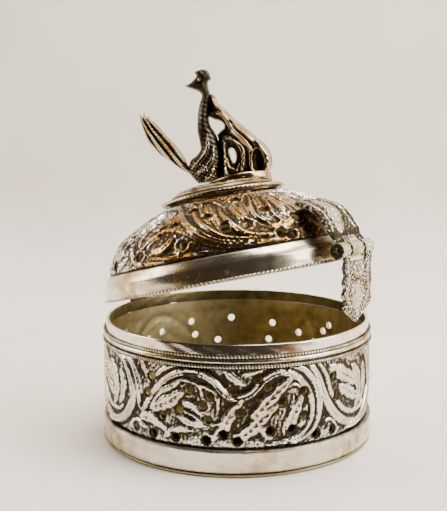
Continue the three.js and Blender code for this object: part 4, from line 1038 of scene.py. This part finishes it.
# The cast pieces are soldered to each other, so each is drawn a little past its joint.
WIDE_BODY = [(x + (0.55 if x > -10.0 and y < 25 else 0.0) - (0.3 if x < -11.0 and y < 9 else 0.0), y - (0.5 if y > 27 else 0.0)) for x, y in BODY]
WIDE_PLUME = [(x - (1.0 if x < -4.4 and (y > 17.5 or y < 11) else 0.0), y) for x, y in PLUME]
WIDE_TAIL = [(-13.4, 0.6)] + [(x, y) for x, y in TAIL[:7]] + [(-30.0, 19.9), (-29.3, 18.9), (-28.7, 20.4), (-28.1, 18.7), (-27.1, 19.3), (-26.7, 17.9)] + [(x, y) for x, y in TAIL[11:]] + [(-13.6, 3.4)]
FOOT = lid_rest([[FINIAL[0], FINIAL[1], SEAT_TOP]])[0]
BT = math.radians(-47.5)
ACROSS = np.array([math.cos(BT), math.sin(BT), 0.0])
OUTWARD = np.array([math.sin(BT), -math.cos(BT), 0.0])
SEAT_N = np.array([0.0, math.sin(OPEN), math.cos(OPEN)])


def bird_place(p):
    return FOOT + (p[:, :1] - 0.8) * ACROSS + (p[:, 1:2] - 0.6) * np.array([0, 0, 1.0]) + p[:, 2:3] * OUTWARD


def pillow(d, r):
    d = np.minimum(d, r)
    return np.sqrt(np.maximum(2 * r * d - d * d, 0))


def tone_of(h, x, y):
    return np.clip(h, 0, 1)


def bird_body_faces(x, y, d):
    t = pillow(d, 3.3) + 0.12
    lower = np.clip((9.0 - y) / 5.0, 0, 1)
    row = y * 0.95 + x * 0.35
    fx = (x * 1.0 - y * 0.2 + 0.5 * (np.floor(row) % 2))
    scale_ = np.clip(1 - ((fx - np.floor(fx) - 0.5) * 1.9) ** 2 - (row - np.floor(row)) * 0.9, 0, 1)
    neck = 0.5 + 0.5 * np.sin(y * 4.4 + x * 1.6)
    dm = np.clip(d / 1.1, 0, 1)
    h = (0.50 * scale_ * lower + 0.16 * neck * (1 - lower) * (y < 25)) * dm
    h = h + stem(x, y, [(-13.8, 3.5), (-11.2, 6.0), (-9.2, 9.6), (-9.4, 14)], (0.4, 0.7, 0.3), 0.45) * dm
    h = h + stem(x, y, [(-12.4, 1.6), (-9.6, 3.6), (-7.6, 6.4), (-7.4, 10)], (0.4, 0.7, 0.3), 0.45) * dm
    h = h + stem(x, y, [(-9.8, -0.6), (-8.0, 1.8), (-7.0, 4.2)], (0.4, 0.6, 0.3), 0.4) * dm
    h = h + 0.45 * np.exp(-(np.hypot(x + 11.6, y - 30.2) / 0.55) ** 2) - 0.35 * np.exp(-((np.hypot(x + 11.6, y - 30.2) - 0.85) / 0.25) ** 2) * dm
    h = h + 0.30 * np.sin((x * 1.3 + y) * 3.2) * np.clip((y - 31.2) / 1.0, 0, 1) * dm
    tone = 0.54 - 0.9 * (h - 0.2) - 0.25 * np.clip(1 - d / 0.5, 0, 1)
    return t + h, -t - h * 0.8, tone, tone


slab("bird_body_cast", WIDE_BODY, [], 0.26, bird_body_faces, bird_place, M_CAST, "lid", "bird_body", cuts=[(FOOT + SEAT_N * 0.3, SEAT_N)])


def bird_plume_faces(x, y, d):
    t = pillow(d, 3.4) * 0.95 + 0.12
    dm = np.clip(d / 0.9, 0, 1)
    a = stem(x, y, [(-7.6, 24.6), (-5.8, 22), (-2, 18), (3.4, 13.4), (7.6, 9.8), (9.5, 6), (8.6, 2.2), (6.2, 0.2)], (0.6, 1.1, 0.7), 1.0)
    b = stem(x, y, [(-6.6, 20.4), (-3.6, 18.6), (-1.6, 15.2), (1.8, 12), (4.0, 9.0), (4.2, 5), (4.8, 1.4)], (0.5, 0.9, 0.5), 0.9)
    c = stem(x, y, [(-3.8, 13.2), (-0.6, 11.4), (1.6, 8.4), (1.6, 4.4), (0.8, 0.6)], (0.4, 0.7, 0.4), 0.75)
    e = stem(x, y, [(-4.6, 12), (-3.8, 8.4), (-4.0, 4), (-3.4, 0.4)], (0.4, 0.6, 0.4), 0.6)
    g = stem(x, y, [(-3.4, 7.2), (-2.4, 4.0), (-0.4, 2.6), (0.6, 5.0)], (0.3, 0.5, 0.3), 0.55)
    q = np.hypot((x - 6.3 + (y - 5.6) * 0.10) / 1.75, (y - 5.6) / 3.7)
    bowl = -1.2 * np.sqrt(np.clip(1 - q * q, 0, 1))
    rim_ = 0.7 * np.exp(-((q - 1.18) / 0.16) ** 2)
    feather = 0.14 * np.sin(3.6 * (x + y * 0.9) + 1.2 * np.sin(y * 0.9)) * (q > 1.3)
    h = (np.maximum.reduce([a, b, c, e, g, rim_]) + feather) * dm + bowl * dm
    tone = np.clip(0.62 - 0.75 * np.maximum.reduce([a, b, c, e, g, rim_]) + 0.05 * (q < 1) - 0.2 * np.clip(1 - d / 0.5, 0, 1), 0, 1)
    return t + h - 0.5, -t - np.maximum(h, 0) * 0.6 - 0.5, tone, np.clip(0.5 - 0.6 * np.maximum(a, b), 0, 1)


slab("bird_plume_cast", WIDE_PLUME, [PLUME_HOLE], 0.26, bird_plume_faces, bird_place, M_CAST, "lid", "bird_back_plume", cuts=[(FOOT + SEAT_N * 0.3, SEAT_N)])


def bird_tail_faces(x, y, d):
    line = smooth_line([(-15.2, 2.4), (-18.4, 5.4), (-22.4, 10.4), (-26.2, 15.2), (-29.6, 20.2)], 8)
    dd, side, t = near(x, y, line)
    sd = dd * side
    spread = 0.55 + 1.1 * np.sin(math.pi * np.clip(t, 0, 1) ** 0.8)
    rib = 0.5 + 0.5 * np.cos(2 * math.pi * sd / spread * 0.92)
    barb = 0.07 * np.sin(t * 150 + np.abs(sd) * 5)
    th = pillow(d, 2.6) + 0.12
    h = (0.95 * rib + barb) * np.clip(d / 0.6, 0, 1)
    tone = np.clip(0.78 - 0.95 * rib, 0, 1)
    return th * 0.6 + h, -th * 0.6 - h, tone, tone


slab("bird_tail_cast", WIDE_TAIL, [], 0.24, bird_tail_faces, bird_place, M_CAST, "lid", "bird_tail_feathers")

# ---------------------------------------------------------------- floor, backdrop, light, camera
def stage_material(name, a, b, rough, scale):
    m = bpy.data.materials.new(name)
    m.use_nodes = True
    nt = m.node_tree
    bs = nt.nodes["Principled BSDF"]
    bs.inputs["Roughness"].default_value = rough
    tc = nt.nodes.new("ShaderNodeTexCoord")
    no = nt.nodes.new("ShaderNodeTexNoise")
    no.inputs["Scale"].default_value = scale
    no.inputs["Detail"].default_value = 4
    mp = nt.nodes.new("ShaderNodeMapRange")
    mp.inputs["From Min"].default_value, mp.inputs["From Max"].default_value = 0.36, 0.62
    mx = nt.nodes.new("ShaderNodeMix")
    mx.data_type = "RGBA"
    mx.inputs[6].default_value, mx.inputs[7].default_value = a, b
    nt.links.new(tc.outputs["Object"], no.inputs["Vector"])
    nt.links.new(no.outputs["Fac"], mp.inputs["Value"])
    nt.links.new(mp.outputs["Result"], mx.inputs[0])
    nt.links.new(mx.outputs[2], bs.inputs["Base Color"])
    bp = nt.nodes.new("ShaderNodeBump")
    bp.inputs["Strength"].default_value = 0.12
    bp.inputs["Distance"].default_value = 0.002
    nt.links.new(no.outputs["Fac"], bp.inputs["Height"])
    nt.links.new(bp.outputs[0], bs.inputs["Normal"])
    geo, clear, both = nt.nodes.new("ShaderNodeNewGeometry"), nt.nodes.new("ShaderNodeBsdfTransparent"), nt.nodes.new("ShaderNodeMixShader")
    nt.links.new(geo.outputs["Backfacing"], both.inputs[0])
    nt.links.new(bs.outputs[0], both.inputs[1])
    nt.links.new(clear.outputs[0], both.inputs[2])
    nt.links.new(both.outputs[0], nt.nodes["Material Output"].inputs[0])
    return m


CAM_A = math.radians(-47.5)
fwd = np.array([-math.sin(CAM_A), math.cos(CAM_A), 0])
rgt = np.array([math.cos(CAM_A), math.sin(CAM_A), 0])
back_at, bend = 215.0, 60.0
path = [(-157.0, -0.05), (-110.0, -0.05), (0.0, -0.05), (back_at - bend, -0.05)]
for t in np.linspace(0, math.pi / 2, 14)[1:]:
    path.append((back_at - bend + bend * math.sin(t), -0.05 + bend - bend * math.cos(t)))
path += [(back_at, z) for z in (200.0, 500.0, 1000.0)]
path = np.array(path)
across = np.linspace(-2400, 2400, 21)
C, K = np.meshgrid(across, np.arange(len(path)))
C, K = C.ravel(), K.ravel()
P = C[:, None] * rgt + path[K, 0][:, None] * fwd + np.stack([np.zeros(len(C)), np.zeros(len(C)), path[K, 1]], -1)
sweep_mat = stage_material("backdrop_pale", lin(0.985, 0.952, 0.905), lin(0.95, 0.912, 0.86), 0.9, 9.0)
floor = build("floor_sweep", P, grid_quads(20, len(path) - 1, False), [], sweep_mat, None, None, sharp=80)
C2, K2 = np.meshgrid(across, np.arange(6))
C2, K2 = C2.ravel(), K2.ravel()
near_path = np.array([-157.0, -260.0, -500.0, -900.0, -1500.0, -2400.0])
P2 = C2[:, None] * rgt + near_path[K2][:, None] * fwd + np.array([0, 0, -0.05])
floor_near = build("floor_near", P2, grid_quads(20, 5, False), [], sweep_mat, None, None, sharp=80)
floor_near.visible_glossy = False
for f_ in (floor, floor_near):
    if f_.data.polygons[0].normal.z < 0:
        f_.data.flip_normals()


def area(name, at, look, size, power, colour):
    ld = bpy.data.lights.new(name, "AREA")
    ld.shape = "RECTANGLE"
    ld.size, ld.size_y = size
    ld.energy, ld.color = power, colour
    ob = bpy.data.objects.new(name, ld)
    bpy.context.scene.collection.objects.link(ob)
    ob.location = at
    ob.rotation_euler = (Vector(look) - Vector(at)).to_track_quat("-Z", "Y").to_euler()
    return ob


def at(right, back, up):
    """A place given by metres to the camera's right, away from the camera, and up."""
    p = rgt * right + fwd * back
    return (p[0], p[1], up)


area("soft_right", at(0.75, -0.25, 0.45), (0, 0, 0.05), (0.7, 0.7), 13.0, (1.0, 0.985, 0.955))
area("soft_left", at(-0.80, 0.12, 0.40), (0, 0, 0.05), (0.5, 0.6), 7.2, (1.0, 0.965, 0.92))
area("soft_top", at(0.15, 0.10, 0.95), (0, 0, 0.04), (0.7, 0.45), 15.5, (1.0, 0.98, 0.95))

world = bpy.data.worlds.new("room")
bpy.context.scene.world = world
world.use_nodes = True
wt = world.node_tree
wt.nodes.clear()
wo, wb = wt.nodes.new("ShaderNodeOutputWorld"), wt.nodes.new("ShaderNodeBackground")
wc = wt.nodes.new("ShaderNodeTexCoord")
dot = wt.nodes.new("ShaderNodeVectorMath")
dot.operation = "DOT_PRODUCT"
dot.inputs[1].default_value = tuple((-fwd * math.cos(0.52) - rgt * math.sin(0.52) + np.array([0, 0, 0.42])) / math.sqrt(1 + 0.42 ** 2))
wt.links.new(wc.outputs["Generated"], dot.inputs[0])
rp = wt.nodes.new("ShaderNodeValToRGB")
wt.links.new(dot.outputs["Value"], rp.inputs[0])
el = rp.color_ramp.elements
el[0].position, el[0].color = 0.0, (1.0, 0.97, 0.93, 1)
el[1].position, el[1].color = 0.95, (0.045, 0.035, 0.025, 1)
for pos, colr in ((0.10, (0.85, 0.78, 0.68, 1)), (0.22, (0.34, 0.22, 0.10, 1)), (0.36, (0.075, 0.052, 0.032, 1))):
    e_ = el.new(pos)
    e_.color = colr
wt.links.new(rp.outputs[0], wb.inputs["Color"])
wb.inputs["Strength"].default_value = 0.85
lp, pale, room = wt.nodes.new("ShaderNodeLightPath"), wt.nodes.new("ShaderNodeBackground"), wt.nodes.new("ShaderNodeMixShader")
pale.inputs["Color"].default_value = (0.78, 0.76, 0.725, 1)
wt.links.new(lp.outputs["Is Camera Ray"], room.inputs[0])
wt.links.new(wb.outputs[0], room.inputs[1])
wt.links.new(pale.outputs[0], room.inputs[2])
wt.links.new(room.outputs[0], wo.inputs[0])

cam = bpy.data.cameras.new("photo_view")
cam.lens = 63.405
cam.sensor_width = 36.0
cam.shift_x = -0.02673
cam.clip_start = 0.01
cam.dof.use_dof = False
camera = bpy.data.objects.new("photo_view", cam)
bpy.context.scene.collection.objects.link(camera)
camera.location = (-0.20327, -0.18626, 0.0964)
camera.rotation_euler = Vector((0.7292, 0.6682, -0.1476)).to_track_quat("-Z", "Y").to_euler()
bpy.context.scene.camera = camera
